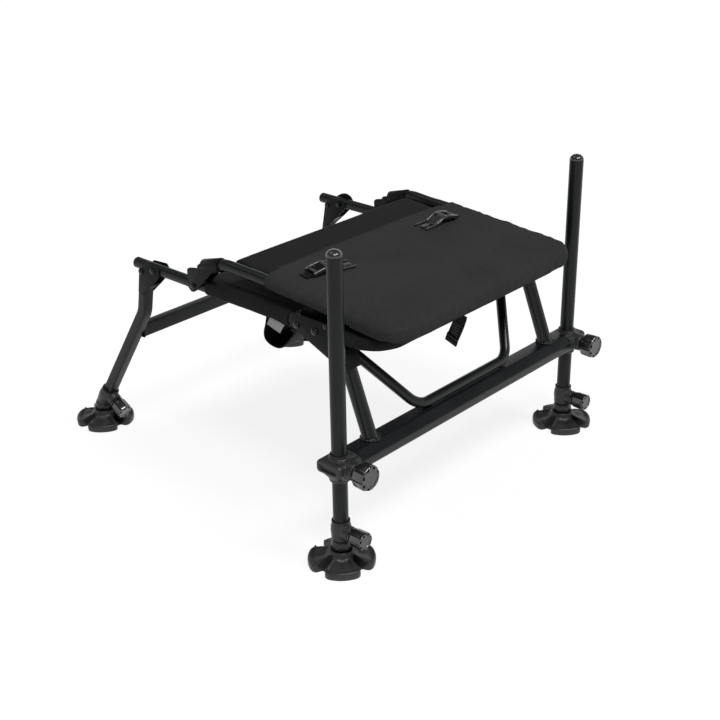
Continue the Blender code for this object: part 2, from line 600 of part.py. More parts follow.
def build_rear_legs(paint, steel):
    pivot = (0.0, REAR_PIVOT_Y, RAIL_Z)
    inner = RAIL_RADIUS + 0.4
    outer = inner + SHEET
    shape = [(-18.0, 5.0), (-12.0, 13.0), (0.0, 17.0), (12.0, 15.0), (24.0, 8.5), (38.5, -6.0)]
    shape += [(47.0, -54.0), (36.0, -56.0), (8.0, -31.0), (-14.5, -9.0)]
    outline = [(REAR_PIVOT_Y + y, RAIL_Z + z) for y, z in shape]
    web = [(9.0, -31.2), (22.6, -43.3), (23.8, -41.8), (10.2, -29.6)]
    web = [(REAR_PIVOT_Y + y, RAIL_Z + z) for y, z in web]
    for label, side in SIDES:
        middle = side * RAIL_X
        bracket = plate(outline, middle + inner, middle + outer)
        join(bracket, plate(web, middle - outer, middle + outer))
        join(bracket, plate(outline, middle - outer, middle - inner))
        reach = (middle - outer - 5, middle + outer + 5)
        for y, z in ((REAR_PIVOT_Y, RAIL_Z), STOP_PIN):
            cut(bracket, hole_across(y, z, SHANK + GAP, *reach))
        finish("rear_bracket_" + label, bracket, paint, pivot, 25)
        faces = (RAIL_X + outer, RAIL_X - outer)
        pivot_bolt = bolt(side, REAR_PIVOT_Y, RAIL_Z, *faces, SHANK)
        finish("rear_pivot_bolt_" + label, pivot_bolt, steel)
        stop_pin = bolt(side, *STOP_PIN, *faces, SHANK, 6.0, 3.6, 2.0)
        finish("rear_stop_pin_" + label, stop_pin, steel, pivot)
        ball = Vector((side * REAR_BALL[0], REAR_BALL[1], REAR_BALL[2]))
        top = Vector((side * REAR_LEG_TOP[0], REAR_LEG_TOP[1], REAR_LEG_TOP[2]))
        bend = Vector((side * REAR_LEG_BEND[0], REAR_LEG_BEND[1], REAR_LEG_BEND[2]))
        end = ball + (bend - ball).normalized() * (16.0 + GAP)
        path = rounded_path((top, bend, end), (60.0,), 4)
        bore = rectangle(REAR_LEG[0] - 3.0, REAR_LEG[1] - 3.0, 1.0)
        leg = sweep(path, rectangle(*REAR_LEG, 2.4), ACROSS, bore)
        finish("rear_leg_" + label, leg, paint, pivot, 30)
    bend = Vector(REAR_LEG_BEND)
    ball = Vector(REAR_BALL)
    share = (bend.z - CROSS_TUBE_Z) / (bend.z - ball.z)
    centre = bend.lerp(ball, share)
    half = centre.x - REAR_LEG[0] / 2 - 1.4
    run = [(-half, centre.y, centre.z), (half, centre.y, centre.z)]
    bore = rectangle(CROSS_TUBE[0] - 3.0, CROSS_TUBE[1] - 3.0, 1.0)
    tube = sweep(run, rectangle(*CROSS_TUBE, 2.4), UP, bore)
    finish("rear_cross_tube", tube, paint, pivot, 30)


def back_path():
    """Centre line of the backrest tube from one bracket round the panel to the other."""
    inset = PANEL_HALF - PANEL_EDGE
    front = PANEL_FRONT + PANEL_EDGE
    bend = PANEL_CORNER - PANEL_EDGE
    collar = ((-24.5, 39.3, 0.0), (-69.5, 52.0, 0.0), (-80.0, 53.2, 0.25), (-94.0, 52.6, 0.5))
    collar += ((-110.0, 51.4, 0.75), (-128.0, 50.4, 0.95))
    rise = [(RAIL_X + (inset - RAIL_X) * part, BACK_PIVOT_Y + y, RAIL_Z + z) for y, z, part in collar]
    start = PANEL_REAR + 15.0
    rise += [(inset, start, panel_middle(start)), (inset, front + bend, panel_middle(front + bend))]
    for turn in (18, 36, 54, 72, 90):
        reach = math.radians(turn)
        x = inset - bend * (1.0 - math.cos(reach))
        y = front + bend * (1.0 - math.sin(reach))
        rise.append((x, y, panel_middle(y)))
    return rise + [(-x, y, z) for x, y, z in reversed(rise)]


def panel_row(y):
    """One closed cross-section of the padded panel at a given y."""
    if y < PANEL_FRONT + PANEL_CORNER:
        run = PANEL_FRONT + PANEL_CORNER - y
        half = PANEL_HALF - PANEL_CORNER + math.sqrt(max(PANEL_CORNER ** 2 - run ** 2, 0.0))
    elif y < PANEL_REAR:
        half = PANEL_HALF
    else:
        half = max(STRIP_HALF, PANEL_HALF - (y - PANEL_REAR) * 5.0)
    edge = PANEL_EDGE
    if y > PANEL_REAR:
        edge = max(STRIP_EDGE, PANEL_EDGE - (y - PANEL_REAR) * 1.1)
    near = min(y - PANEL_FRONT, STRIP_REAR - y)
    lift = 1.0
    if near < edge:
        lift = math.sqrt(max(1.0 - (1.0 - near / edge) ** 2, 0.0))
    offsets = [(1.0, 0.0), (0.7, 0.71), (0.3, 0.95), (0.0, 1.0)]
    spots = [(half - edge + edge * (1 - (1 - a)), edge * b) for a, b in offsets]
    inner = half - edge
    crown = PANEL_CROWN * min(1.0, near / 70.0)
    spots += [(inner * part, edge + crown * (1 - part ** 2)) for part in (0.75, 0.45, 0.15)]
    ridge = [(x, h * lift) for x, h in spots]
    top = ridge + [(-x, h) for x, h in reversed(ridge)]
    middle = panel_middle(y)
    points = [(x, y, middle + h) for x, h in top]
    return points + [(x, y, middle - h) for x, h in reversed(top[1:-1])]


def build_backrest(paint, cloth, steel):
    pivot = (0.0, BACK_PIVOT_Y, RAIL_Z)
    path = [Vector(point) for point in back_path()]
    frame = sweep(path, circle(BACK_RADIUS, 16), UP)
    finish("backrest_frame", frame, paint, pivot)
    ends = (0.4, 3.0, 7.5, 13.0, 27.0, 43.0, 60.0)
    places = [PANEL_FRONT + inset for inset in ends] + [50.0, 110.0]
    places += [PANEL_REAR + step for step in (-55.0, -10.0, -0.1, 3.0, 7.0, 15.0, 50.0, 75.0)]
    places += [STRIP_REAR - inset for inset in (5.0, 2.6, 0.9, 0.2)]
    panel = draft([panel_row(y) for y in places])
    tunnel = [point for point in path if point.y < 300.0]
    cut(panel, sweep(tunnel, circle(BACK_RADIUS + GAP, 14), UP))
    finish("backrest_panel", panel, cloth, pivot, 50)
    band = [(6.0, -11.0), (13.0, -4.0), (13.5, 6.0), (5.0, 19.0), (13.0, 26.0), (10.0, 32.5)]
    band += [(2.0, 33.0), (-5.0, 30.0), (-19.0, 37.0), (-21.5, 46.0), (-59.0, 58.5)]
    band += [(-65.5, 39.5), (-55.0, 41.5), (-7.0, -6.0), (-1.0, -10.5)]
    band = [(BACK_PIVOT_Y + y, RAIL_Z + z) for y, z in band]
    inner = RAIL_RADIUS + GAP
    outer = inner + CLOTH
    for label, side in SIDES:
        middle = side * RAIL_X
        run = [(middle, BACK_PIVOT_Y - 22.0, RAIL_Z + 38.6), (middle, BACK_PIVOT_Y - 65.0, RAIL_Z + 50.7)]
        bracket = sweep(run, circle(outer, 20), UP)
        for near, far in ((inner + 0.4, outer - 0.3), (0.3 - outer, -inner - 0.4)):
            join(bracket, plate(band, middle + near, middle + far))
        run = [(middle, BACK_PIVOT_Y + 19.0, RAIL_Z + 27.0), (middle, BACK_PIVOT_Y - 101.0, RAIL_Z + 60.9)]
        cut(bracket, sweep(run, circle(inner, 20), UP))
        reach = (middle - outer - 5, middle + outer + 5)
        cut(bracket, hole_across(BACK_PIVOT_Y, RAIL_Z, SHANK + GAP, *reach))
        finish("backrest_bracket_" + label, bracket, paint, pivot, 30)
        faces = (RAIL_X + outer, RAIL_X - outer)
        pivot_bolt = bolt(side, BACK_PIVOT_Y, RAIL_Z, *faces, SHANK, 5.4, 3.0)
        finish("backrest_bolt_" + label, pivot_bolt, steel)


def panel_top(x, y):
    """Height of the panel's upper side away from its edges."""
    inner = PANEL_HALF - PANEL_EDGE
    stops = (0.0, 0.15, 0.45, 0.75, 1.0)
    part = min(abs(x) / inner, 0.999)
    step = max(index for index, stop in enumerate(stops) if stop <= part)
    low, high = max(stops[step], 0.15), stops[step + 1]
    share = (part - low) / (high - low) if part > low else 0.0
    crown = (1 - low ** 2) * (1 - share) + (1 - high ** 2) * share
    return panel_middle(y) + PANEL_EDGE + PANEL_CROWN * crown


def build_buckle(label, start, heading, plastic, webbing):
    """Buckle half with three prongs on a short strap, lying on the panel."""
    pivot = (0.0, BACK_PIVOT_Y, RAIL_Z)
    normal = Vector((0.0, -PANEL_RISE, 1.0)).normalized()
    ahead = Vector((*heading, PANEL_RISE * heading[1])).normalized()
    aside = normal.cross(ahead)
    base = max(panel_top(start[0] + heading[0] * run, start[1]) for run in (-16, 0, 30))
    base = Vector((*start, base + GAP + 0.3))
    run = [base + ahead * along + normal * lift for along, lift in ((-18.0, 0.8), (10.0, 0.8), (20.0, 2.2))]
    strap = sweep(run, rectangle(1.6, WEBBING, 0.7), normal)
    finish("buckle_strap_" + label, strap, webbing, pivot)
    shell = []
    sections = ((3.0, 25.0, 4.4, 4.6), (6.0, 30.0, 5.0, 6.0), (16.0, 32.0, 6.6, 6.4))
    sections += ((27.0, 32.0, 9.0, 8.4), (40.0, 31.0, 10.4, 7.6), (43.0, 28.0, 10.2, 5.4))
    for along, width, middle, thick in sections:
        place = base + ahead * along
        outline = rectangle(thick, width, 1.8)
        shell.append([place + aside * b + normal * (middle + a) for a, b in outline])
    buckle = draft(shell)
    for shift, bow in ((-11.5, -3.0), (0.0, 0.0), (11.5, 3.0)):
        reach = 80.0 if bow else 70.0
        prong = [(38.0, shift, 10.0), (58.0, shift + bow, 8.6), (reach, shift + bow * 0.4, 4.6)]
        prong = [base + ahead * along + aside * across + normal * lift for along, across, lift in prong]
        join(buckle, sweep(prong, rectangle(4.2, 6.0, 1.2), normal))
    finish("buckle_" + label, buckle, plastic, pivot)


def build_straps(plastic, label_cloth, webbing):
    build_buckle("left", (-114.0, 150.0), (-0.90, 0.44), plastic, webbing)
    build_buckle("right", (166.0, 170.0), (-1.0, 0.04), plastic, webbing)
    tail = [(-40.0, FRONT_RUN_Y - 3.0, RAIL_Z - 14.1), (-39.0, FRONT_RUN_Y + 5.0, 326.0)]
    tail += [(-38.5, FRONT_RUN_Y + 11.0, 301.0)]
    finish("strap_tail", sweep(tail, rectangle(1.8, 24.0, 0.7), ACROSS), webbing)
    loop = []
    for turn in range(0, 181, 15):
        reach = math.radians(turn)
        drop = 59.0 * math.sin(reach)
        loop.append((16.0 - RAIL_X, 211.0 + 28.0 * math.cos(reach), RAIL_Z - 11.3 - drop))
    band = sweep(loop, rectangle(22.0, 2.2, 0.8), ACROSS)
    finish("webbing_loop", band, webbing)
    tag = [(186.0, 334.0), (220.0, 332.0), (220.0, 355.1), (186.0, 355.1)]
    finish("care_tag", plate(tag, -RAIL_X - 6.6, -RAIL_X - 5.6), label_cloth)


def build():
    clear_scene()
    gloss = make_material("gloss_black_paint", 0.012, 0.3, 0.0)
    satin = make_material("satin_black_paint", 0.014, 0.42, 0.0)
    plastic = make_material("moulded_black_plastic", 0.016, 0.45, 0.0)
    steel = make_material("dark_bolt_steel", 0.12, 0.3, 1.0)
    cloth = make_material("black_woven_cloth", 0.02, 0.9, 0.0)
    webbing = make_material("black_webbing", 0.016, 0.85, 0.0)
    label = make_material("plain_white_label", 0.75, 0.8, 0.0)
    build_seat_frame(satin, plastic)
    build_seat_sling(cloth)
    build_crossbar(gloss)
    build_struts(gloss)
    build_stay(gloss)
    build_front_brackets(gloss, steel)
    build_clamps(plastic)
    build_front_legs(satin, plastic)
    build_feet(plastic)
    build_rear_legs(satin, steel)
    build_backrest(satin, cloth, steel)
    build_straps(plastic, label, webbing)
    place_pieces()


build()
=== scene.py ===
"""Looks of the fishing chair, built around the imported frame.

Layout points are in millimetres, as in the part's source: x across, y behind the plane of the
front legs, z up. spot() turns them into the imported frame's metres.
"""
import math

import bmesh
import bpy
from mathutils import Matrix, Vector, noise
from mathutils.bvhtree import BVHTree


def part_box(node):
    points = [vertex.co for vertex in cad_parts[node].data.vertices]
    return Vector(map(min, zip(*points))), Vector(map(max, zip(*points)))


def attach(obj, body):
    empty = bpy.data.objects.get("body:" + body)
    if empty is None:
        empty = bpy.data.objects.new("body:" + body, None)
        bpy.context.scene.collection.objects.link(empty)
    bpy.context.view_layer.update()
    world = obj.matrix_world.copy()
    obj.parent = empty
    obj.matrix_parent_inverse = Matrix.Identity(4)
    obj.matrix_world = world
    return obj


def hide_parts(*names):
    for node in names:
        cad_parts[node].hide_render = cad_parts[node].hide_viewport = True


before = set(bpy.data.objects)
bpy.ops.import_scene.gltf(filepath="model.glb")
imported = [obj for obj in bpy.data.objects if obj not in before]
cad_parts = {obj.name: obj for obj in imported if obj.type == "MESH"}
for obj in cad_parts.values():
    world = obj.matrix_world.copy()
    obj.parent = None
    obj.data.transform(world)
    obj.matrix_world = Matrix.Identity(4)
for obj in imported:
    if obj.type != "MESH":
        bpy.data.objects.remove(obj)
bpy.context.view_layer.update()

MM = 0.001
FLOOR_DROP = 6.6
LEG_X = 314.0
RAIL_X = 242.0
RAIL_Z = 366.0
STOP_PIN_Z = RAIL_Z - 8.5
RAIL_RADIUS = 10.0
RAIL_END_Y = 557.5
FRONT_RUN_Y = -19.0
FRAME_BEND = 50.0
BACK_PIVOT_Y = 395.0
REAR_PIVOT_Y = 503.0
STOP_PIN_Y = REAR_PIVOT_Y + 33.0
RAIL_BOLT_Y = 142.0
STAY_BOLT_Y = 101.0
SLING_NOTCH_FRONT = 52.0
SLING_NOTCH_REAR = RAIL_BOLT_Y + 24.0
SLEEVE_REAR = BACK_PIVOT_Y - 30.0
SLING_REAR = BACK_PIVOT_Y - 4.0
SLING_SAG = 12.0
SLEEVE_RADIUS = 12.2
PANEL_HALF = 252.0
PANEL_FRONT = -60.0
PANEL_REAR = 225.0
SEAM_Y = PANEL_REAR + 4.0
PANEL_EDGE = 13.0
PANEL_CORNER = 60.0
PAD_CORNER = 56.0
PANEL_Z = RAIL_Z + 30.0
PANEL_RISE = 0.078
STRIP_HALF = 229.0
STRIP_RIGHT = 217.0
STRIP_REAR = 317.0
STRIP_EDGE = 5.0
CLAMP_Z = 187.0
CLAMP_FACE = 36.4
CLAMP_KNOB = (22.0, 29.5)
BALL_Z = 42.0
BALL_RADIUS = 17.0
CUP_RADIUS = 18.3
REAR_BALL = (RAIL_X + 17.0, REAR_PIVOT_Y + 185.5)
COLLAR_FACE = 22.4
KNOB_GAP = 0.3
FOOT_KNOB = (16.0, 31.0)
FRONT_BOSS = 25.0
REAR_BOSS = 33.0
LEG_RADIUS = 12.5
LEG_END = 16.3
LEG_TOP = 533.0
REAR_LEG = 20.0
BAR_TOP = 205.0
BAR_LOW = 177.0
BAR_HALF = 27.4
BAR_END = 290.6
STRUT_LEAN = 0.39
BACK_TUBE = 10.0
BACK_TUBE_SEWN = 7.6
# Near and far faces of the bracket plates from the middle of a rail.
FRONT_PLATE = (12.8, 14.8)
REAR_PLATE = (10.4, 12.4)
BACK_PLATE = 12.5
BEAD_SEED = 3
SIDES = (("left", -1.0), ("right", 1.0))
ACROSS = Vector((1.0, 0.0, 0.0))
UP = Vector((0.0, 0.0, 1.0))
FRONT = Vector((0.0, -1.0, 0.0))

# Camera: place in layout millimetres, then bearing, downward pitch and roll in degrees.
CAMERA_PLACE = (-1551.65, -1182.7, 1178.35)
CAMERA_TURN = (47.463, 25.356, -0.962)
CAMERA_LENS = 63.245

# Studio: the backdrop reflects white up to an edge that stands higher on the right.
BACKDROP_RIGHT = 0.55
BACKDROP_SLOPE = -0.7
BACKDROP_EDGE = (-0.12, -0.07)
ROOM_DIM = 0.08
FILL_LIGHT = 0.18
PAPER_COLOUR = (0.86, 0.86, 0.86, 1.0)
PAPER_GLOW = 1.06
PAPER_GLOW_SHARE = 0.8
FLOOR_HALF = 40.0
# Name, bearing and height in degrees, strength and apparent width in degrees.
SOFT_LIGHTS = (
    ("left_softbox", 236.0, 60.0, 1.4, 16.0),
    ("right_softbox", 288.0, 56.0, 1.3, 16.0),
    ("rear_softbox", 110.0, 60.0, 0.3, 30.0))
WHITE = (1.0, 1.0, 1.0, 1.0)

leg_low, leg_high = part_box("front_leg_left")
ORIGIN = Vector((0.0, (leg_low.y + leg_high.y) / 2, -FLOOR_DROP * MM))


def spot(x, y, z):
    """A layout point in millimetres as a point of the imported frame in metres."""
    return Vector((x, y, z)) * MM + ORIGIN


def add_node(tree, kind, settings=None, inputs=None):
    """Outputs of a new node; an input that is a socket is linked, any other value is set."""
    made = tree.nodes.new(kind)
    for key, value in (settings or {}).items():
        setattr(made, key, value)
    for key, value in (inputs or {}).items():
        if isinstance(value, bpy.types.NodeSocket):
            tree.links.new(value, made.inputs[key])
        else:
            made.inputs[key].default_value = value
    return made.outputs


def tree_maths(tree, operation, *terms):
    """Output of a Math node in a tree, from sockets and numbers."""
    return add_node(tree, "ShaderNodeMath", {"operation": operation}, dict(enumerate(terms)))[0]


class Value:
    """One output of a finish's node tree; arithmetic on it adds Math nodes."""

    def __init__(self, finish, socket):
        self.finish = finish
        self.socket = socket

    def maths(self, operation, *terms):
        return self.finish.node("ShaderNodeMath", {"operation": operation}, dict(enumerate(terms)))

    def __add__(self, other):
        return self.maths("ADD", self, other)

    def __sub__(self, other):
        return self.maths("SUBTRACT", self, other)

    def __rsub__(self, other):
        return self.maths("SUBTRACT", other, self)

    def __mul__(self, other):
        return self.maths("MULTIPLY", self, other)

    __radd__ = __add__
    __rmul__ = __mul__

    def wave(self, pitch):
        """A ripple from 0 to 1 that repeats each pitch."""
        return self.maths("SINE", self * (2 * math.pi / pitch)) * 0.5 + 0.5


class Finish:
    """A Principled material: constants are set on its sockets, and what varies is linked."""

    def __init__(self, name, constants):
        self.material = bpy.data.materials.new(name)
        self.material.use_nodes = True
        self.tree = self.material.node_tree
        self.shader = self.tree.nodes["Principled BSDF"]
        for socket, value in constants.items():
            self.shader.inputs[socket].default_value = value

    def node(self, kind, settings=None, inputs=None, output=0):
        plain = {}
        for key, value in (inputs or {}).items():
            plain[key] = value.socket if isinstance(value, Value) else value
        return Value(self, add_node(self.tree, kind, settings, plain)[output])

    def link(self, socket, value):
        self.tree.links.new(value.socket, self.shader.inputs[socket])

    def place(self, source="Object"):
        return self.node("ShaderNodeTexCoord", output=source)

    def axes(self, source="Object"):
        place = self.place(source)
        return [self.node("ShaderNodeSeparateXYZ", None, {0: place}, axis) for axis in range(3)]

    def grain(self, scale, detail=2.0, rough=0.5, source="Object"):
        place = self.place(source)
        return self.node("ShaderNodeTexNoise", None,
                         {"Vector": place, "Scale": scale, "Detail": detail, "Roughness": rough})

    def tint(self, low, high, share):
        """Base colour that goes from low to high with a share from 0 to 1."""
        colours = {0: share, 6: (*low, 1.0), 7: (*high, 1.0)}
        self.link("Base Color", self.node("ShaderNodeMix", {"data_type": "RGBA"}, colours, 2))

    def relief(self, height, strength, depth):
        """Bump from a height of 0 to 1; depth is in metres."""
        settings = {"Height": height, "Strength": strength, "Distance": depth}
        self.link("Normal", self.node("ShaderNodeBump", None, settings))


def grey(level, warm=0.0):
    return (level * (1 + warm), level, level * (1 - warm))


def powder_coat(name, level, rough, peel, shine):
    finish = Finish(name, {"IOR": 1.5, "Specular IOR Level": shine})
    broad = finish.grain(14.0, 3.0)
    fine = finish.grain(900.0, 2.0)
    finish.tint(grey(level * 0.8, -0.08), grey(level * 1.25, -0.08), broad)
    finish.link("Roughness", broad * 0.12 + fine * 0.06 + (rough - 0.09))
    finish.relief(fine, peel, 0.00012)
    return finish.material


def moulded_plastic(name, level, rough, spark, shine=0.3):
    finish = Finish(name, {"IOR": 1.5, "Specular IOR Level": shine})
    broad = finish.grain(25.0, 3.0)
    fine = finish.grain(1500.0, 3.0, 0.7)
    finish.tint(grey(level * 0.8), grey(level * 1.3), broad)
    finish.link("Roughness", fine * 0.2 + broad * 0.08 + (rough - 0.14))
    finish.relief(fine, spark, 0.0001)
    return finish.material


def woven_cloth(name, level, seam=None):
    """Plain weave of coarse yarn with uneven yarns; it is darker behind a seam at y, in metres."""
    finish = Finish(name, {"IOR": 1.4, "Specular IOR Level": 0.12})
    x, y, z = finish.axes()
    warp = (x + z * 0.8).wave(0.0011)
    weft = (y + z * 0.8).wave(0.0011)
    cross = warp * weft + (1 - warp) * (1 - weft)
    slub = finish.grain(220.0, 3.0)
    broad = finish.grain(9.0, 4.0)
    share = cross * 0.2 + slub * 0.4 + broad * 0.4
    if seam is not None:
        edge = {0: y, 1: seam, 2: seam + 0.004, 3: 1.0, 4: 0.0}
        before = finish.node("ShaderNodeMapRange", None, edge)
        share = share * (before * 0.74 + 0.26)
    finish.tint(grey(level * 0.3), grey(level * 1.7), share)
    finish.link("Roughness", slub * 0.14 + 0.78)
    finish.relief(cross * 0.7 + slub * 0.5, 0.4, 0.0003)
    return finish.material


def ribbed_webbing(name, level, pitch, dots=False):
    """Narrow webbing; its UV map runs along and across the strap in metres."""
    finish = Finish(name, {"IOR": 1.45, "Specular IOR Level": 0.12})
    along, across, unused = finish.axes("UV")
    rib = (along + across * 0.5).wave(pitch) * across.wave(pitch * 1.7)
    if dots:
        rib = along.wave(pitch * 4.0) * across.wave(pitch * 4.0)
    slub = finish.grain(300.0)
    finish.tint(grey(level * 0.55), grey(level * 1.9), rib * 0.7 + slub * 0.3)
    finish.link("Roughness", rib * 0.2 + 0.55)
    finish.relief(rib, 0.6, 0.0004)
    return finish.material


def plated_steel(name, level, rough):
    finish = Finish(name, {"Metallic": 1.0, "Coat Weight": 0.45, "Coat Roughness": 0.06})
    broad = finish.grain(60.0, 3.0)
    fine = finish.grain(800.0)
    finish.tint(grey(level * 0.8, 0.01), grey(level * 1.2, 0.02), broad)
    finish.link("Roughness", fine * 0.12 + (rough - 0.06))
    finish.relief(fine, 0.08, 0.0001)
    return finish.material


def plain_label(name):
    finish = Finish(name, {"Specular IOR Level": 0.2})
    x, y, z = finish.axes()
    rib = (y + z * 0.2).wave(0.0005) * z.wave(0.0005)
    broad = finish.grain(60.0)
    finish.tint(grey(0.2), grey(0.46), broad * 0.6 + rib * 0.4)
    finish.link("Roughness", rib * 0.1 + 0.6)
    finish.relief(rib, 0.3, 0.0001)
    return finish.material


PAD_SEAM = spot(0.0, SEAM_Y, 0.0).y
satin = powder_coat("satin_powder_coat", 0.009, 0.34, 0.18, 0.22)
gloss = powder_coat("gloss_powder_coat", 0.008, 0.26, 0.12, 0.3)
plate_coat = powder_coat("plate_powder_coat", 0.006, 0.42, 0.1, 0.09)
plastic = moulded_plastic("moulded_nylon", 0.019, 0.42, 0.45, 0.4)
knob_plastic = moulded_plastic("knob_nylon", 0.011, 0.2, 0.06, 1.0)
buckle_plastic = moulded_plastic("buckle_nylon", 0.02, 0.26, 0.08, 1.0)
ball_plastic = moulded_plastic("ball_nylon", 0.012, 0.3, 0.15, 0.4)
gloss_plastic = moulded_plastic("cap_plastic", 0.022, 0.22, 0.08, 0.7)
panel_cloth = woven_cloth("panel_polyester", 0.03, PAD_SEAM)
cloth = woven_cloth("seat_polyester", 0.016)
webbing = ribbed_webbing("strap_webbing", 0.008, 0.0014)
elastic = ribbed_webbing("dotted_elastic", 0.008, 0.0013, dots=True)
steel = plated_steel("dark_plated_steel", 0.008, 0.24)
label_cloth = plain_label("blank_label_cloth")
thread = moulded_plastic("sewing_thread", 0.055, 0.7, 0.3, 0.2)
strap_thread = moulded_plastic("strap_thread", 0.12, 0.7, 0.3, 0.2)


def smooth_shade(item, angle):
    """Smooth shading up to an edge angle in degrees."""
    item.data.polygons.foreach_set("use_smooth", [True] * len(item.data.polygons))
    item.data.set_sharp_from_angle(angle=math.radians(angle))
    return item


def new_mesh(name, shape, angle=35.0, normals=True):
    """A named object at the origin from a bmesh, smooth up to an edge angle in degrees."""
    if normals:
        bmesh.ops.recalc_face_normals(shape, faces=shape.faces)
    mesh = bpy.data.meshes.new(name)
    shape.to_mesh(mesh)
    shape.free()
    made = bpy.data.objects.new(name, mesh)
    bpy.context.scene.collection.objects.link(made)
    return smooth_shade(made, angle)


def applied(item):
    """Replace an object's mesh by its evaluated mesh, and drop its modifiers."""
    graph = bpy.context.evaluated_depsgraph_get()
    graph.update()
    mesh = bpy.data.meshes.new_from_object(item.evaluated_get(graph), depsgraph=graph)
    item.modifiers.clear()
    item.data = mesh
    return item


def settle(item, material, body, slot, *stands_for):
    """Paint a finished piece and let it move with its body."""
    item.data.materials.clear()
    item.data.materials.append(material)
    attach(item, body)
    if stands_for:
        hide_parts(*stands_for)
    return item


def skin(shape, rings, capped=True):
    """Faces between closed rings of points; a ring of one point closes to a tip."""
    rows = [[shape.verts.new(point) for point in ring] for ring in rings]
    for low, high in zip(rows, rows[1:]):
        count = max(len(low), len(high))
        for index in range(count):
            follow = (index + 1) % count
            corners = [low[index % len(low)], low[follow % len(low)]]
            corners += [high[follow % len(high)], high[index % len(high)]]
            shape.faces.new(list(dict.fromkeys(corners)))
    if capped:
        for row in (rows[0], rows[-1]):
            if len(row) > 2:
                shape.faces.new(row)


def round_section(radius, count=28):
    turns = [2 * math.pi * index / count for index in range(count)]
    return [(radius * math.cos(turn), radius * math.sin(turn)) for turn in turns]


def soft_rectangle(thick, width, corner, steps=3):
    """Rounded rectangle as (thickness, width) pairs."""
    points = []
    for sign_a, sign_b, start in ((1, 1, 0), (-1, 1, 90), (-1, -1, 180), (1, -1, 270)):
        for step in range(steps + 1):
            turn = math.radians(start + 90 * step / steps)
            a = sign_a * (thick / 2 - corner) + corner * math.cos(turn)
            b = sign_b * (width / 2 - corner) + corner * math.sin(turn)
            points.append((a, b))
    return points


def sections(path, section, reference):
    """Rings of a section along a path in millimetres; its first axis leans to the reference,
    which is one direction or a list of them."""
    path = [Vector(point) for point in path]
    runs = [(after - before).normalized() for before, after in zip(path, path[1:])]
    rings = []
    for index, point in enumerate(path):
        run = (runs[max(index - 1, 0)] + runs[min(index, len(runs) - 1)]).normalized()
        toward = reference[index] if isinstance(reference, list) else reference
        side = (toward - run * toward.dot(run)).normalized()
        lift = run.cross(side)
        pairs = section(index) if callable(section) else section
        rings.append([spot(*(point + side * a + lift * b)) for a, b in pairs])
    return rings


def turned_rings(profile, origin, axis, count=64):
    """Rings of a turned body in millimetres; a row's place and radius may change with the turn."""
    axis = Vector(axis).normalized()
    side = axis.cross(ACROSS if abs(axis.x) < 0.9 else UP).normalized()
    lift = axis.cross(side)
    rings = []
    for row in profile:
        if row[1] == 0:
            rings.append([spot(*(Vector(origin) + axis * row[0]))])
            continue
        ring = []
        for index in range(count):
            turn = 2 * math.pi * index / count
            along, radius = [part(turn) if callable(part) else part for part in row]
            reach = (side * math.cos(turn) + lift * math.sin(turn)) * radius
            ring.append(spot(*(Vector(origin) + axis * along + reach)))
        rings.append(ring)
    return rings


def rounded_path(points, radii, steps=14):
    """A path whose inner corners are arcs of the given radii."""
    points = [Vector(point) for point in points]
    path = [points[0]]
    for before, corner, after, radius in zip(points, points[1:], points[2:], radii):
        back = (before - corner).normalized()
        ahead = (after - corner).normalized()
        half = back.angle(ahead) / 2
        centre = corner + (back + ahead).normalized() * (radius / math.sin(half))
        start = (corner + back * (radius / math.tan(half)) - centre).normalized()
        end = (corner + ahead * (radius / math.tan(half)) - centre).normalized()
        path += [centre + start.slerp(end, step / steps) * radius for step in range(steps + 1)]
    path.append(points[-1])
    return path


def node_tree(name, numbers):
    """Geometry node tree with named number inputs."""
    tree = bpy.data.node_groups.new(name, "GeometryNodeTree")
    tree.interface.new_socket("Geometry", in_out="INPUT", socket_type="NodeSocketGeometry")
    for number in numbers:
        tree.interface.new_socket(number, in_out="INPUT", socket_type="NodeSocketFloat")
    tree.interface.new_socket("Geometry", in_out="OUTPUT", socket_type="NodeSocketGeometry")
    return tree


def painted_end(tree, geometry, material):
    """End a tree: its geometry gets a material and goes out."""
    inputs = {"Geometry": geometry, "Material": material}
    painted = add_node(tree, "GeometryNodeSetMaterial", None, inputs)
    add_node(tree, "NodeGroupOutput", None, {"Geometry": painted["Geometry"]})
    return tree


def copies_tree(template):
    """Node tree that puts a template at each point, turned to the point's heading."""
    tree = node_tree("copies_at_marks", ("Size",))
    begin = add_node(tree, "NodeGroupInput")
    source = add_node(tree, "GeometryNodeObjectInfo", None, {"Object": template})
    heading = add_node(tree, "GeometryNodeInputNamedAttribute",
                       {"data_type": "FLOAT_VECTOR"}, {"Name": "heading"})
    aim = add_node(tree, "FunctionNodeAlignRotationToVector",
                   {"axis": "Z"}, {"Vector": heading["Attribute"]})
    placed = add_node(tree, "GeometryNodeInstanceOnPoints", None, {
        "Points": begin["Geometry"], "Instance": source["Geometry"],
        "Rotation": aim["Rotation"], "Scale": begin["Size"]})
    real = add_node(tree, "GeometryNodeRealizeInstances", None, {"Geometry": placed["Instances"]})
    return painted_end(tree, real["Geometry"], template.data.materials[0])


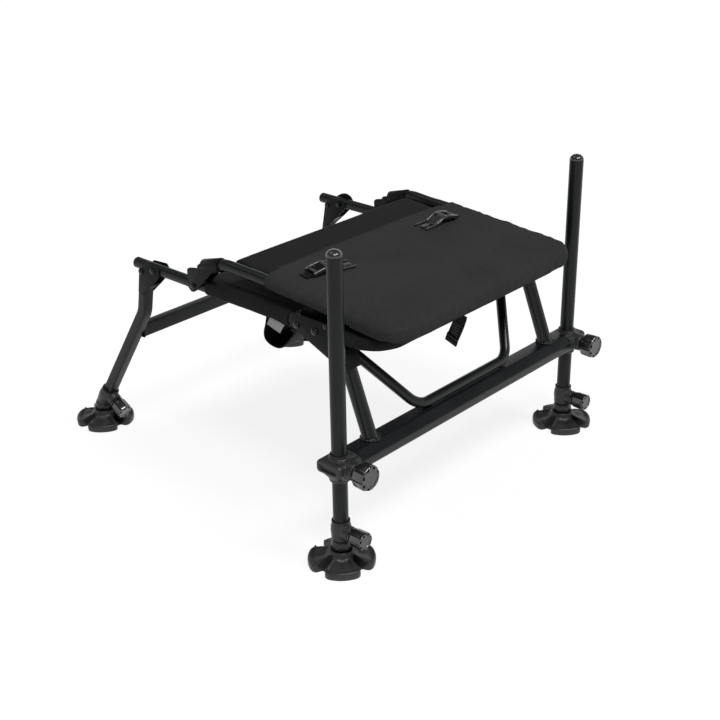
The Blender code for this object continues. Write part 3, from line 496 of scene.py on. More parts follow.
def path_tree(material):
    """Node tree that lays small rounded beads along the edges of its mesh."""
    tree = node_tree("beads_along_path", ("Pitch", "Length", "Width", "Unevenness"))
    begin = add_node(tree, "NodeGroupInput")
    curve = add_node(tree, "GeometryNodeMeshToCurve", None, {"Mesh": begin["Geometry"]})
    even = add_node(tree, "GeometryNodeResampleCurve", {"mode": "LENGTH"},
                    {"Curve": curve["Curve"], "Length": begin["Pitch"]})
    tangent = add_node(tree, "GeometryNodeInputTangent")
    aim = add_node(tree, "FunctionNodeAlignRotationToVector",
                   {"axis": "Z"}, {"Vector": tangent["Tangent"]})
    bead = add_node(tree, "GeometryNodeMeshUVSphere", None, {"Segments": 8, "Rings": 6, "Radius": 0.5})
    size = add_node(tree, "ShaderNodeCombineXYZ", None,
                    {"X": begin["Width"], "Y": begin["Width"], "Z": begin["Length"]})
    spread = add_node(tree, "FunctionNodeRandomValue", {"data_type": "FLOAT"},
                      {"Min": 0.0, "Seed": BEAD_SEED, "Max": begin["Unevenness"]})
    grow = tree_maths(tree, "ADD", spread["Value"], 1.0)
    scale = add_node(tree, "ShaderNodeVectorMath", {"operation": "SCALE"},
                     {0: size["Vector"], "Scale": grow})
    placed = add_node(tree, "GeometryNodeInstanceOnPoints", None, {
        "Points": even["Curve"], "Instance": bead["Mesh"],
        "Rotation": aim["Rotation"], "Scale": scale["Vector"]})
    real = add_node(tree, "GeometryNodeRealizeInstances", None, {"Geometry": placed["Instances"]})
    soft = add_node(tree, "GeometryNodeSetShadeSmooth", None, {"Geometry": real["Geometry"]})
    return painted_end(tree, soft["Geometry"], material)


def run_tree(item, tree, values):
    """Run a node tree on an object with named input values, and keep the plain mesh."""
    modifier = item.modifiers.new("nodes", "NODES")
    modifier.node_group = tree
    sockets = {s.name: s.identifier for s in tree.interface.items_tree if s.in_out == "INPUT"}
    for name, value in values.items():
        modifier[sockets[name]] = value
    return applied(item)


def beads(name, lines, tree, sizes, material, body, slot):
    """Beads along lines of points in metres; sizes are pitch, length, width and unevenness."""
    shape = bmesh.new()
    for points, ring in lines:
        verts = [shape.verts.new(point) for point in points]
        for start, end in zip(verts, verts[1:] + verts[:1] if ring else verts[1:]):
            shape.edges.new((start, end))
    item = new_mesh(name, shape, normals=False)
    pitch, length, width, uneven = sizes
    values = {"Pitch": pitch * MM, "Length": length * MM, "Width": width * MM, "Unevenness": uneven}
    run_tree(item, tree, values)
    return settle(item, material, body, slot)


def marks(name, template, places, body, slot, *stands_for, size=1.0):
    """Copies of a template at places: pairs of a point in metres and a heading."""
    shape = bmesh.new()
    for point, direction in places:
        shape.verts.new(point)
    item = new_mesh(name, shape, normals=False)
    heading = item.data.attributes.new("heading", "FLOAT_VECTOR", "POINT")
    for index, (point, direction) in enumerate(places):
        heading.data[index].vector = Vector(direction).normalized()
    run_tree(item, copies_tree(template), {"Size": size})
    return settle(item, template.data.materials[0], body, slot, *stands_for)


def remeshed(item, voxel, passes):
    """Melt an object's shells into one skin with cells in millimetres, and soften it."""
    union = item.modifiers.new("union", "REMESH")
    union.mode = "VOXEL"
    union.voxel_size = voxel * MM
    soften = item.modifiers.new("soften", "SMOOTH")
    soften.factor = 0.5
    soften.iterations = passes
    return applied(item)


def moulded(name, shells, voxel, passes, cutters=()):
    """One moulded body from overlapping closed shells, with soft inner corners."""
    shape = bmesh.new()
    for rings in shells:
        skin(shape, rings)
    item = remeshed(new_mesh(name, shape), voxel, passes)
    for rings in cutters:
        tool_cut(item, "DIFFERENCE", rings)
    return smooth_shade(item, 40)


def lofted(name, *shells, angle=35.0):
    """One object from closed shells of rings; a shell that ends on its first ring is hollow."""
    shape = bmesh.new()
    for rings in shells:
        skin(shape, rings, capped=rings[0] != rings[-1])
    bmesh.ops.remove_doubles(shape, verts=shape.verts, dist=1e-7)
    return new_mesh(name, shape, angle)


def hollow(path, outer, inner, reference):
    """Rings of a tube with a bore along a path in millimetres."""
    outside = sections(path, outer, reference)
    inside = sections(path, inner, reference)
    return outside + inside[::-1] + outside[:1]


def tool_cut(item, operation, rings):
    """Join a closed shape to an object, or cut it away."""
    tool = lofted("tool", rings)
    step = item.modifiers.new("step", "BOOLEAN")
    step.operation = operation
    step.solver = "EXACT"
    step.object = tool
    applied(item)
    bpy.data.objects.remove(tool, do_unlink=True)


def united(name, parts, cutters=(), bevel=0.0, angle=28.0):
    """One body from overlapping closed parts, less its cutters, with softened edges."""
    item = lofted(name, parts[0])
    for rings in parts[1:]:
        tool_cut(item, "UNION", rings)
    for rings in cutters:
        tool_cut(item, "DIFFERENCE", rings)
    shape = bmesh.new()
    shape.from_mesh(item.data)
    bmesh.ops.remove_doubles(shape, verts=shape.verts, dist=2e-6)
    bmesh.ops.dissolve_limit(shape, angle_limit=math.radians(0.4), verts=shape.verts,
                             edges=shape.edges)
    shape.to_mesh(item.data)
    shape.free()
    if bevel:
        edges = item.modifiers.new("soft_edges", "BEVEL")
        edges.width = bevel * MM
        edges.segments = 2
        edges.limit_method = "ANGLE"
        edges.angle_limit = math.radians(angle)
        applied(item)
    return smooth_shade(item, angle + 12)


def soft_outline(points, radius, steps=4):
    """A closed outline of (y, z) pairs with its corners rounded."""
    points = [Vector(point) for point in points]
    outline = []
    for before, corner, after in zip(points[-1:] + points[:-1], points, points[1:] + points[:1]):
        back, ahead = before - corner, after - corner
        half = back.angle(ahead) / 2
        if math.degrees(half) > 87:
            outline.append(tuple(corner))
            continue
        set_back = min(radius / math.tan(half), back.length * 0.48, ahead.length * 0.48)
        start = corner + back.normalized() * set_back
        end = corner + ahead.normalized() * set_back
        for step in range(steps + 1):
            share = step / steps
            bow = start * (1 - share) ** 2 + corner * (2 * share * (1 - share)) + end * share ** 2
            outline.append(tuple(bow))
    return outline


def at_bolt(points, y):
    """(y, z) pairs given from a bolt of the rail at y, as layout places."""
    return [(y + a, RAIL_Z + b) for a, b in points]


def dome_rows(turns, base, rise, radius):
    """Rows of a dome: height over a base, and radius, at turns in degrees."""
    reaches = [math.radians(turn) for turn in turns]
    return [(base + rise * math.sin(reach), radius * math.cos(reach)) for reach in reaches]


def plate_rings(outline, x_from, x_to):
    """Rings of a flat plate across x, from its (y, z) outline."""
    return [[spot(x, y, z) for y, z in outline] for x in (x_from, x_to)]


def place_camera():
    """The camera stands where the photograph was taken from."""
    bearing, pitch, roll = [math.radians(angle) for angle in CAMERA_TURN]
    flat = math.cos(pitch)
    forward = Vector((math.sin(bearing) * flat, math.cos(bearing) * flat, -math.sin(pitch)))
    level = Vector((math.cos(bearing), -math.sin(bearing), 0.0))
    rise = level.cross(forward)
    right_hand = level * math.cos(roll) + rise * math.sin(roll)
    upward = rise * math.cos(roll) - level * math.sin(roll)
    lens = bpy.data.cameras.new("camera")
    lens.sensor_width = 36.0
    lens.lens = CAMERA_LENS
    lens.clip_end = 100.0
    camera = bpy.data.objects.new("camera", lens)
    bpy.context.scene.collection.objects.link(camera)
    turn = Matrix((right_hand, upward, -forward)).transposed().to_4x4()
    camera.matrix_world = Matrix.Translation(spot(*CAMERA_PLACE)) @ turn
    bpy.context.scene.camera = camera


def seen_ray(tree):
    """Light Path value that is 1 for camera, glossy and transmission rays."""
    path = add_node(tree, "ShaderNodeLightPath")
    total = path["Is Camera Ray"]
    for name in ("Is Glossy Ray", "Is Transmission Ray"):
        total = tree_maths(tree, "MAXIMUM", total, path[name])
    return total


def light_world():
    """White backdrop for what is seen; in reflections the room above it is dim."""
    world = bpy.data.worlds.new("studio")
    bpy.context.scene.world = world
    world.use_nodes = True
    tree = world.node_tree
    tree.nodes.clear()
    heading = add_node(tree, "ShaderNodeTexCoord")["Generated"]
    axes = add_node(tree, "ShaderNodeSeparateXYZ", None, {0: heading})
    right = tree_maths(tree, "MAXIMUM", axes["X"], BACKDROP_RIGHT)
    above = tree_maths(tree, "MULTIPLY_ADD", right, BACKDROP_SLOPE, axes["Z"])
    limits = (above, *BACKDROP_EDGE, 1.0, ROOM_DIM)
    dim = add_node(tree, "ShaderNodeMapRange", None, dict(enumerate(limits)))[0]
    camera_ray = add_node(tree, "ShaderNodeLightPath")["Is Camera Ray"]
    white = tree_maths(tree, "MAXIMUM", camera_ray, dim)
    seen = add_node(tree, "ShaderNodeBackground", None, {"Color": WHITE, "Strength": white})[0]
    fill = add_node(tree, "ShaderNodeBackground", None, {"Color": WHITE, "Strength": FILL_LIGHT})[0]
    chosen = add_node(tree, "ShaderNodeMixShader", None, {0: seen_ray(tree), 1: fill, 2: seen})[0]
    add_node(tree, "ShaderNodeOutputWorld", None, {0: chosen})


def lay_floor():
    """White paper that keeps the shadow and glows for what is seen."""
    paper = bpy.data.materials.new("white_paper")
    paper.use_nodes = True
    tree = paper.node_tree
    tree.nodes.clear()
    matt = add_node(tree, "ShaderNodeBsdfDiffuse", None, {"Color": PAPER_COLOUR})[0]
    glow = add_node(tree, "ShaderNodeEmission", None, {"Strength": PAPER_GLOW})[0]
    share = tree_maths(tree, "MULTIPLY", seen_ray(tree), PAPER_GLOW_SHARE)
    chosen = add_node(tree, "ShaderNodeMixShader", None, {0: share, 1: matt, 2: glow})[0]
    add_node(tree, "ShaderNodeOutputMaterial", None, {0: chosen})
    shape = bmesh.new()
    bmesh.ops.create_grid(shape, x_segments=2, y_segments=2, size=FLOOR_HALF)
    floor = new_mesh("studio_floor", shape, normals=False)
    floor.data.materials.append(paper)


def hang_lights():
    """Soft lights from the sides and from behind."""
    for name, bearing, lift, power, spread in SOFT_LIGHTS:
        lamp = bpy.data.lights.new(name, "SUN")
        lamp.energy = power
        lamp.angle = math.radians(spread)
        holder = bpy.data.objects.new(name, lamp)
        bpy.context.scene.collection.objects.link(holder)
        turn, up = math.radians(bearing), math.radians(lift)
        source = Vector((math.cos(turn) * math.cos(up), math.sin(turn) * math.cos(up), math.sin(up)))
        holder.matrix_world = source.to_track_quat("Z", "Y").to_matrix().to_4x4()


def panel_middle(y):
    """Height of the panel's middle layer at y."""
    return PANEL_Z + PANEL_RISE * (y + 20.0)


def ease(value):
    """Smooth step from 0 to 1."""
    value = min(max(value, 0.0), 1.0)
    return value * value * (3 - 2 * value)


def pad_row(y, inset):
    """Closed cross-section of the padded panel at y, smaller by an inset."""
    if y < PANEL_FRONT + PAD_CORNER:
        run = min(PANEL_FRONT + PAD_CORNER - y, PAD_CORNER)
        half = PANEL_HALF - PAD_CORNER + math.sqrt(PAD_CORNER ** 2 - run ** 2)
    else:
        half = PANEL_HALF - (PANEL_HALF - STRIP_HALF) * ease((y - PANEL_REAR + 4.0) / 10.0)
    edge = PANEL_EDGE - (PANEL_EDGE - STRIP_EDGE) * ease((y - PANEL_REAR + 4.0) / 14.0)
    right = 1.0 - (1.0 - STRIP_RIGHT / STRIP_HALF) * ease((y - PANEL_REAR + 4.0) / 10.0)
    near = min(y - PANEL_FRONT, STRIP_REAR - y)
    lift = math.sqrt(max(1.0 - (1.0 - min(near / edge, 1.0)) ** 2, 0.002))
    crown = 2.0 * min(1.0, max(near, 0.0) / 70.0)
    edge -= inset
    half -= inset
    upper = []
    for step in range(9):
        turn = math.radians(90 * step / 8)
        upper.append((half - edge + edge * math.cos(turn), edge * math.sin(turn)))
    for step in range(1, 16):
        part = 1.0 - step / 15
        upper.append(((half - edge) * part, edge + crown * (1 - part ** 2)))
    ridge = [(x * right, h) for x, h in upper] + [(-x, h) for x, h in reversed(upper[:-1])]
    droop = 1.0 + 0.4 * ease((70.0 - y) / 60.0) + 0.25 * ease((-30.0 - y) / 12.0)
    outline = [(x, h * lift) for x, h in ridge]
    outline += [(x, -h * lift * droop) for x, h in reversed(ridge[1:-1])]
    return [spot(x, y, panel_middle(y) + h) for x, h in outline]


def swelled(item, voxel, pressure, cap):
    """Swell a closed shape with cloth pressure; its points move outward, no further than the cap."""
    remeshed(item, voxel, 3)
    start = [(vert.co.copy(), vert.normal.copy()) for vert in item.data.vertices]
    fabric = item.modifiers.new("fabric", "CLOTH")
    fabric.settings.quality = 5
    fabric.settings.mass = 0.25
    fabric.settings.bending_stiffness = 2.0
    fabric.settings.use_pressure = True
    fabric.settings.uniform_pressure_force = pressure
    fabric.settings.effector_weights.gravity = 0.0
    fabric.point_cache.frame_start = 1
    fabric.point_cache.frame_end = 20
    scene = bpy.context.scene
    for number in range(1, 21):
        scene.frame_set(number)
    applied(item)
    scene.frame_set(1)
    for vert, (place, normal) in zip(item.data.vertices, start):
        swell = (vert.co - place).dot(normal) / MM
        vert.co = place + normal * min(max(swell, -0.2), cap) * MM
    finer = item.modifiers.new("finer", "SUBSURF")
    finer.levels = finer.render_levels = 1
    return applied(item)


def pad_ripple(place):
    """Height in millimetres that sewing and use give the panel's cloth at a layout place."""
    x, y, z = place
    height = 0.8 * noise.noise(Vector((x * 0.011, y * 0.011, 3.0)))
    front = ease((30.0 - y) / 60.0)
    height += front * 0.75 * noise.noise(Vector((x * 0.055, y * 0.016, z * 0.02)))
    height += front * 0.35 * noise.noise(Vector((x * 0.12, y * 0.03, 7.0)))
    side = ease((abs(x) - 205.0) / 40.0)
    height += side * 1.1 * noise.noise(Vector((x * 0.02, y * 0.06, 5.0)))
    corner = math.hypot(max(abs(x) - 205.0, 0.0), max(-20.0 - y, 0.0))
    height += ease((corner - 8.0) / 30.0) * 1.6 * noise.noise(Vector((x * 0.07, y * 0.07, z * 0.05)))
    near_seam = y - SEAM_Y
    height -= 3.0 * math.exp(-(near_seam / 2.8) ** 2)
    pucker = 1 + noise.noise(Vector((x * 0.07, 0.0, 9.0)))
    height += 1.2 * math.exp(-((near_seam + 9.0) / 6.0) ** 2) * pucker
    return height


def build_pad():
    """Padded panel: swelled by simulation, then seamed and puckered."""
    inset = 0.8
    front_steps = (0.2, 0.6, 1.4, 2.6, 4.2, 6.5, 9.5, 13.0, 17.0, 22.0, 27.0, 33.0, 42.0)
    places = [PANEL_FRONT + inset + step for step in front_steps]
    places += list(range(0, 216, 12)) + [PANEL_REAR + step for step in range(-8, 14, 2)]
    places += list(range(245, 305, 12))
    places += [STRIP_REAR - inset - step for step in (8.0, 5.0, 3.0, 1.5, 0.5, 0.1)]
    item = lofted("padded_panel", [pad_row(y, inset) for y in places])
    swelled(item, 5.0, 4.0, 1.6)
    mesh = item.data
    normals = [vert.normal.copy() for vert in mesh.vertices]
    for vert, normal in zip(mesh.vertices, normals):
        place = (vert.co - ORIGIN) / MM
        vert.co += normal * pad_ripple(place) * MM
    smooth_shade(item, 60)
    settle(item, panel_cloth, "backrest", "woven_cloth", "backrest_panel")
    return item


def frame_path(steps=14):
    """Centre line of the seat frame from one rail's end round the front to the other."""
    corners = [(-RAIL_X, RAIL_END_Y, RAIL_Z), (-RAIL_X, FRONT_RUN_Y, RAIL_Z)]
    corners += [(RAIL_X, FRONT_RUN_Y, RAIL_Z), (RAIL_X, RAIL_END_Y, RAIL_Z)]
    return rounded_path(corners, (FRAME_BEND, FRAME_BEND), steps)


def build_seat_frame():
    """Seat frame tube with its stop notch, and its end plugs."""
    tube = round_section(RAIL_RADIUS, 40)
    item = lofted("seat_frame_tube", sections(frame_path(), tube, UP))
    notch = [(STOP_PIN_Y - 4.7, RAIL_Z - 14), (STOP_PIN_Y + 3.3, RAIL_Z - 14)]
    notch += [(STOP_PIN_Y + 3.3, STOP_PIN_Z + 3.3), (STOP_PIN_Y - 3.3, STOP_PIN_Z + 3.3)]
    tool_cut(item, "DIFFERENCE", plate_rings(notch, -RAIL_X - 20, RAIL_X + 20))
    smooth_shade(item, 35)
    settle(item, satin, "frame", "satin_frame", "seat_frame")
    for label, side in SIDES:
        profile = [(-6.0, 0.0), (-6.0, 8.2), (0.3, 8.2), (0.3, 9.4), (0.8, 10.0), (2.0, 10.0)]
        profile += [(3.2, 9.4), (4.1, 7.6), (4.5, 4.8), (4.6, 0.0)]
        rings = turned_rings(profile, (side * RAIL_X, RAIL_END_Y, RAIL_Z), (0, 1, 0), 40)
        plug = lofted("tube_plug_" + label, rings)
        settle(plug, plastic, "frame", "moulded_plastic", "rail_plug_" + label)


def back_path():
    """Centre line of the backrest tube from one bracket round the panel to the other."""
    inset = PANEL_HALF - PANEL_EDGE
    front = PANEL_FRONT + PANEL_EDGE
    bend = PANEL_CORNER - PANEL_EDGE
    collar = ((-24.5, 39.3, 0.0), (-69.5, 52.0, 0.0), (-80.0, 53.2, 0.25), (-94.0, 52.6, 0.5))
    collar += ((-110.0, 51.4, 0.75), (-128.0, 50.4, 0.95))
    rise = [(RAIL_X + (inset - RAIL_X) * part, BACK_PIVOT_Y + y, RAIL_Z + z) for y, z, part in collar]
    start = PANEL_REAR + 15.0
    rise += [(inset, start, panel_middle(start)), (inset, front + bend, panel_middle(front + bend))]
    for turn in range(6, 91, 6):
        reach = math.radians(turn)
        y = front + bend * (1.0 - math.sin(reach))
        rise.append((inset - bend * (1.0 - math.cos(reach)), y, panel_middle(y)))
    return rise + [(-x, y, z) for x, y, z in reversed(rise)]


def eased(path, passes=3):
    """A path with its corners cut away a few times; its ends stay."""
    path = [Vector(point) for point in path]
    for unused in range(passes):
        finer = [path[0]]
        for start, end in zip(path, path[1:]):
            finer += [start.lerp(end, 0.25), start.lerp(end, 0.75)]
        path = finer + [path[-1]]
    return path


def build_back_frame():
    """Backrest tube, thinner where it is sewn into the panel."""
    path = eased(back_path(), 2)
    inside = PANEL_REAR - 12.0

    def section(index):
        return round_section(BACK_TUBE_SEWN if path[index].y < inside else BACK_TUBE, 36)

    item = lofted("backrest_tube", sections(path, section, UP))
    settle(item, satin, "backrest", "satin_frame", "backrest_frame")


def weld_ring(centre, axis_a, axis_b):
    """Closed line of points around a joint, in metres."""
    turns = [2 * math.pi * index / 36 for index in range(36)]
    centre, a, b = Vector(centre), Vector(axis_a), Vector(axis_b)
    return [spot(*(centre + a * math.cos(turn) + b * math.sin(turn))) for turn in turns]


def build_front_frame():
    """Crossbar, struts and bent stay, with their weld beads."""
    wall = 2.5
    half, low = BAR_HALF - wall, BAR_LOW + wall
    outer = [(-13.0, BAR_TOP), (13.0, BAR_TOP), (BAR_HALF, 192.0), (BAR_HALF, BAR_LOW)]
    outer = soft_outline(outer + [(-BAR_HALF, BAR_LOW), (-BAR_HALF, 192.0)], 4.0, 5)
    inner = [(-13.0, BAR_TOP - wall), (13.0, BAR_TOP - wall), (half, 191.0), (half, low)]
    inner = soft_outline(inner + [(-half, low), (-half, 191.0)], 2.0, 5)
    ends = (-BAR_END, -145.0, 0.0, 145.0, BAR_END)
    rings = [[spot(x, y, z) for y, z in outer] for x in ends]
    rings += [[spot(x, y, z) for y, z in inner] for x in reversed(ends)]
    bar = lofted("front_crossbar_section", rings + rings[:1], angle=25)
    settle(bar, gloss, "frame", "gloss_frame", "front_crossbar")
    slant = math.sqrt(1 + STRUT_LEAN ** 2)
    strut_rows = ((205.3, 14.9), (206.4, 14.7), (207.8, 13.8), (209.4, 13.0), (211.4, 12.5))
    strut_rows += ((346.0, 12.5), (346.0, 10.5), (240.0, 10.5), (230.0, 10.5))
    welds = []
    for label, side in SIDES:
        rings = []
        for z, radius in strut_rows:
            y = -0.2 + STRUT_LEAN * (z - BAR_TOP)
            around = round_section(radius, 40)
            rings.append([spot(side * RAIL_X + a, y + b * slant, z) for a, b in around])
        strut = lofted("front_strut_tube_" + label, rings)
        settle(strut, gloss, "frame", "gloss_frame", "front_strut_" + label)
        base = (side * RAIL_X, 0.1, 206.4)
        welds.append((weld_ring(base, (14.2, 0, 0), (0, 15.0, 0)), True))
    lug_x = RAIL_X - 12.5 - 0.3 - 2.0 - 0.3
    corners = []
    for side in (-1.0, 1.0):
        leg = [(side * (lug_x - 9.0), 95.0, 345.0), (side * 121.0, 0.0, 214.3)]
        corners += leg if side < 0 else leg[::-1]
    path = rounded_path(corners, (42.0, 42.0), 12)
    normal = Vector((0.0, -1.0, 0.72))
    parts = [sections(path, round_section(9.0, 36), normal)]
    for side in (-1.0, 1.0):
        lug = [(88.0, 338.0), (104.0, 335.0), (108.5, 352.0)]
        for turn in range(-10, 200, 15):
            reach = math.radians(turn)
            lug.append((STAY_BOLT_Y + 8.5 * math.cos(reach), RAIL_Z + 8.5 * math.sin(reach)))
        parts.append(plate_rings(lug, side * (lug_x - 5.0), side * lug_x))
    stay = united("front_stay_tube", parts, bevel=0.5)
    settle(stay, gloss, "frame", "gloss_frame", "front_stay")
    for part in (-1.0, 1.0):
        line = [spot(x, part * 4.6, 206.2) for x in range(-92, 93, 4)]
        welds.append((line, False))
    tree = path_tree(gloss)
    beads("frame_weld_beads", welds, tree, (2.6, 4.6, 4.0, 0.4), gloss, "frame", "gloss_frame")


def build_front_brackets():
    """Two plates and a web for each front bracket."""
    inner, outer = FRONT_PLATE
    shape = [(-72.6, -46.0), (-43.0, -45.5), (44.0, -9.0), (56.0, -5.0), (57.5, 6.0)]
    shape += [(55.0, 16.0), (48.0, 19.0), (-45.6, 19.0)]
    outline = soft_outline(at_bolt(shape, STAY_BOLT_Y), 7.0)
    web = at_bolt([(-72.6, -46.0), (-70.6, -46.0), (-57.3, -14.0), (-59.3, -14.0)], STAY_BOLT_Y)
    for label, side in SIDES:
        middle = side * RAIL_X
        parts = [plate_rings(outline, middle + inner, middle + outer)]
        parts.append(plate_rings(web, middle - outer + 0.2, middle + outer - 0.2))
        parts.append(plate_rings(outline, middle - outer, middle - inner))
        item = united("front_bracket_plate_" + label, parts, bevel=0.45)
        settle(item, plate_coat, "frame", "gloss_frame", "front_bracket_" + label)


def build_rear_frame():
    """Rear brackets, bent rear legs, and the cross tube with its welds."""
    inner, outer = REAR_PLATE
    shape = [(-18.0, 5.0), (-12.0, 13.0), (0.0, 17.0), (12.0, 15.0), (24.0, 8.5), (38.5, -6.0)]
    shape += [(47.0, -54.0), (36.0, -56.0), (8.0, -31.0), (-14.5, -9.0)]
    outline = soft_outline(at_bolt(shape, REAR_PIVOT_Y), 8.0)
    lower = [(y, min(z, 11.0)) for y, z in shape if z < 14.0]
    lower = soft_outline(at_bolt(lower, REAR_PIVOT_Y), 6.0)
    web = at_bolt([(9.0, -31.2), (22.6, -43.3), (23.8, -41.8), (10.2, -29.6)], REAR_PIVOT_Y)
    square = soft_rectangle(REAR_LEG, REAR_LEG, 2.6, 4)
    bore = soft_rectangle(REAR_LEG - 3.0, REAR_LEG - 3.0, 1.2, 4)
    welds = []
    for label, side in SIDES:
        middle = side * RAIL_X
        parts = [plate_rings(outline, middle + side * inner, middle + side * outer)]
        parts.append(plate_rings(web, middle - outer + 0.2, middle + outer - 0.2))
        parts.append(plate_rings(lower, middle - side * outer, middle - side * inner))
        item = united("rear_bracket_plate_" + label, parts, bevel=0.45)
        settle(item, plate_coat, "rear_legs", "satin_frame", "rear_bracket_" + label)
        top, bend, end = rear_leg_points(side)
        path = rounded_path((top, bend, end), (60.0,), 16)
        leg = lofted("rear_leg_tube_" + label, hollow(path, square, bore, ACROSS), angle=50)
        settle(leg, satin, "rear_legs", "satin_frame", "rear_leg_" + label)
    low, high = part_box("rear_cross_tube")
    middle = ((low + high) / 2 - ORIGIN) / MM
    half = (high.x - low.x) / 2 / MM
    run = [(x, middle.y, middle.z) for x in (-half, -80.0, 80.0, half)]
    rings = hollow(run, soft_rectangle(25.0, 20.0, 2.6, 4), soft_rectangle(22.0, 17.0, 1.2, 4), UP)
    tube = lofted("rear_cross_tube_bar", rings, angle=50)
    settle(tube, satin, "rear_legs", "satin_frame", "rear_cross_tube")
    for side in (-1.0, 1.0):
        seam = soft_rectangle(27.0, 22.0, 4.0, 4)
        edge = [spot(side * (half - 0.6), middle.y + b, middle.z + a) for a, b in seam]
        welds.append((edge, True))
    tree = path_tree(satin)
    beads("rear_weld_beads", welds, tree, (1.7, 2.4, 1.8, 0.3), satin, "rear_legs", "satin_frame")


def rear_leg_points(side):
    """Top, bend and lower end of a rear leg's centre line."""
    top = Vector((side * RAIL_X, REAR_PIVOT_Y + 32.5, RAIL_Z - 13.5))
    bend = Vector((side * RAIL_X, REAR_PIVOT_Y + 48.5, RAIL_Z - 94.0))
    ball = Vector((side * REAR_BALL[0], REAR_BALL[1], BALL_Z))
    return top, bend, ball + (bend - ball).normalized() * LEG_END


def build_back_brackets():
    """Backrest brackets: two cheeks and a rolled collar for the tube."""
    band = [(6.0, -11.0), (12.5, -5.0), (14.0, 1.5), (12.4, 8.0), (11.8, 14.0), (12.6, 22.0)]
    band += [(12.4, 27.5), (8.0, 31.6), (0.0, 33.8), (-13.9, 36.4), (-19.0, 41.0), (-22.4, 46.0)]
    band += [(-59.0, 58.5), (-65.5, 39.5), (-55.0, 40.0), (-8.0, -7.0), (-1.0, -11.0)]
    band = soft_outline(at_bolt(band, BACK_PIVOT_Y), 3.0)
    collar = at_bolt(((-22.0, 38.6), (-65.0, 50.7)), BACK_PIVOT_Y)
    bore = at_bolt(((19.0, 27.0), (-101.0, 60.9)), BACK_PIVOT_Y)
    for label, side in SIDES:
        middle = side * RAIL_X
        parts = [sections([(middle, *place) for place in collar], round_section(12.5, 48), UP)]
        for near, far in ((10.7, 12.2), (-12.2, -10.7)):
            parts.append(plate_rings(band, middle + near, middle + far))
        cutters = [sections([(middle, *place) for place in bore], round_section(10.3, 48), UP)]
        item = united("backrest_bracket_plate_" + label, parts, cutters, 0.35)
        settle(item, plate_coat, "backrest", "satin_frame", "backrest_bracket_" + label)


def build_front_legs():
    """Straight front leg tubes with domed caps."""
    for label, side in SIDES:
        run = [(side * LEG_X, 0.0, z) for z in (BALL_Z + LEG_END, 200.0, 350.0, LEG_TOP)]
        rings = hollow(run, round_section(LEG_RADIUS, 44), round_section(11.0, 44), ACROSS)
        leg = lofted("front_leg_tube_" + label, rings)
        settle(leg, satin, "front_leg_" + label, "satin_frame", "front_leg_" + label)
        profile = [(518.0, 0.0), (518.0, 10.7), (533.3, 10.7), (533.3, 12.1), (533.8, LEG_RADIUS)]
        profile += dome_rows(range(8, 88, 8), 534.5, 9.5, LEG_RADIUS) + [(544.0, 0.0)]
        cap = lofted("leg_cap_dome_" + label, turned_rings(profile, (side * LEG_X, 0.0, 0.0), UP, 44))
        settle(cap, gloss_plastic, "front_leg_" + label, "moulded_plastic", "leg_cap_" + label)


def knob_rings(radius, start, length, leg_face, origin, axis, collar):
    """Rings of a hand knob: a neck, eight flats parted by grooves, and slots round its face."""
    end = start + length

    def flat_turn(turn):
        return turn % (math.pi / 4) - math.pi / 8

    def flats(share, groove=2.4):
        def reach(turn):
            away = flat_turn(turn)
            flat = min(math.cos(math.pi / 8) / math.cos(away), 0.985) / 0.985
            notch = math.exp(-((math.pi / 8 - abs(away)) / 0.05) ** 2)
            return radius * share * flat - groove * notch
        return reach

    def slots(along, depth):
        return lambda turn: along - depth * ease((0.16 - abs(flat_turn(turn))) / 0.05)

    profile = [(leg_face + 0.5, 0.0), (leg_face + 0.5, 4.0), (start, 4.0), (start, radius * 0.46)]
    body = start + 4.8
    if collar:
        rim = ((1.4, 0.5), (1.5, 0.78), (2.0, 0.83), (3.8, 0.83), (4.3, 0.78), (4.4, 0.55))
        profile += [(start + along, radius * share) for along, share in rim]
        body = start + 6.0
    profile += [(body, radius * 0.5), (body + 0.1, radius * 0.74)]
    profile += [(body + 0.4, flats(0.82, 0.3)), (body + 1.6, flats(0.93, 1.2))]
    profile += [(body + 3.2, flats(0.97)), (end - 6.0, flats(1.0))]
    profile += [(end - 3.0, flats(0.99)), (end - 1.8, flats(0.965, 1.8)), (end - 1.0, flats(0.93, 1.0))]
    profile += [(slots(end - 0.3, 0.4), radius * 0.88), (slots(end, 4.0), radius * 0.86)]
    profile += [(slots(end, 4.0), radius * 0.71), (end, radius * 0.7), (end, radius * 0.66)]
    profile += [(end - 0.9, radius * 0.62), (end - 1.0, radius * 0.3), (end - 1.0, 0.0)]
    return turned_rings(profile, origin, axis, 192)


def rear_foot(side):
    """Ball centre, leg direction and knob direction of a rear foot."""
    bend = rear_leg_points(side)[1]
    ball = Vector((side * REAR_BALL[0], REAR_BALL[1], BALL_Z))
    axis = (bend - ball).normalized()
    return ball, axis, ACROSS.cross(axis).normalized()


def clamp_keel(side):
    """Rings that draw the clamp's outer wing down into its barrel."""
    rings = []
    for level in (-26.5, -23.0, -19.0, -15.0, -11.0, -7.0, -3.0):
        grow = ease((level + 26.5) / 22.0) ** 1.1
        ring = []
        for step in range(64):
            turn = 2 * math.pi * step / 64
            out, along = math.cos(turn), math.sin(turn)
            wing = ((abs(out) / 25.0) ** 4 + (abs(along) / 24.0) ** 4) ** -0.25
            wing = 15.5 + (wing - 15.5) * ease((out + 0.3) / 0.5)
            reach = 15.5 + (wing - 15.5) * grow
            ring.append(spot(side * (LEG_X + reach * out), reach * along, CLAMP_Z + level))
        rings.append(ring)
    return rings


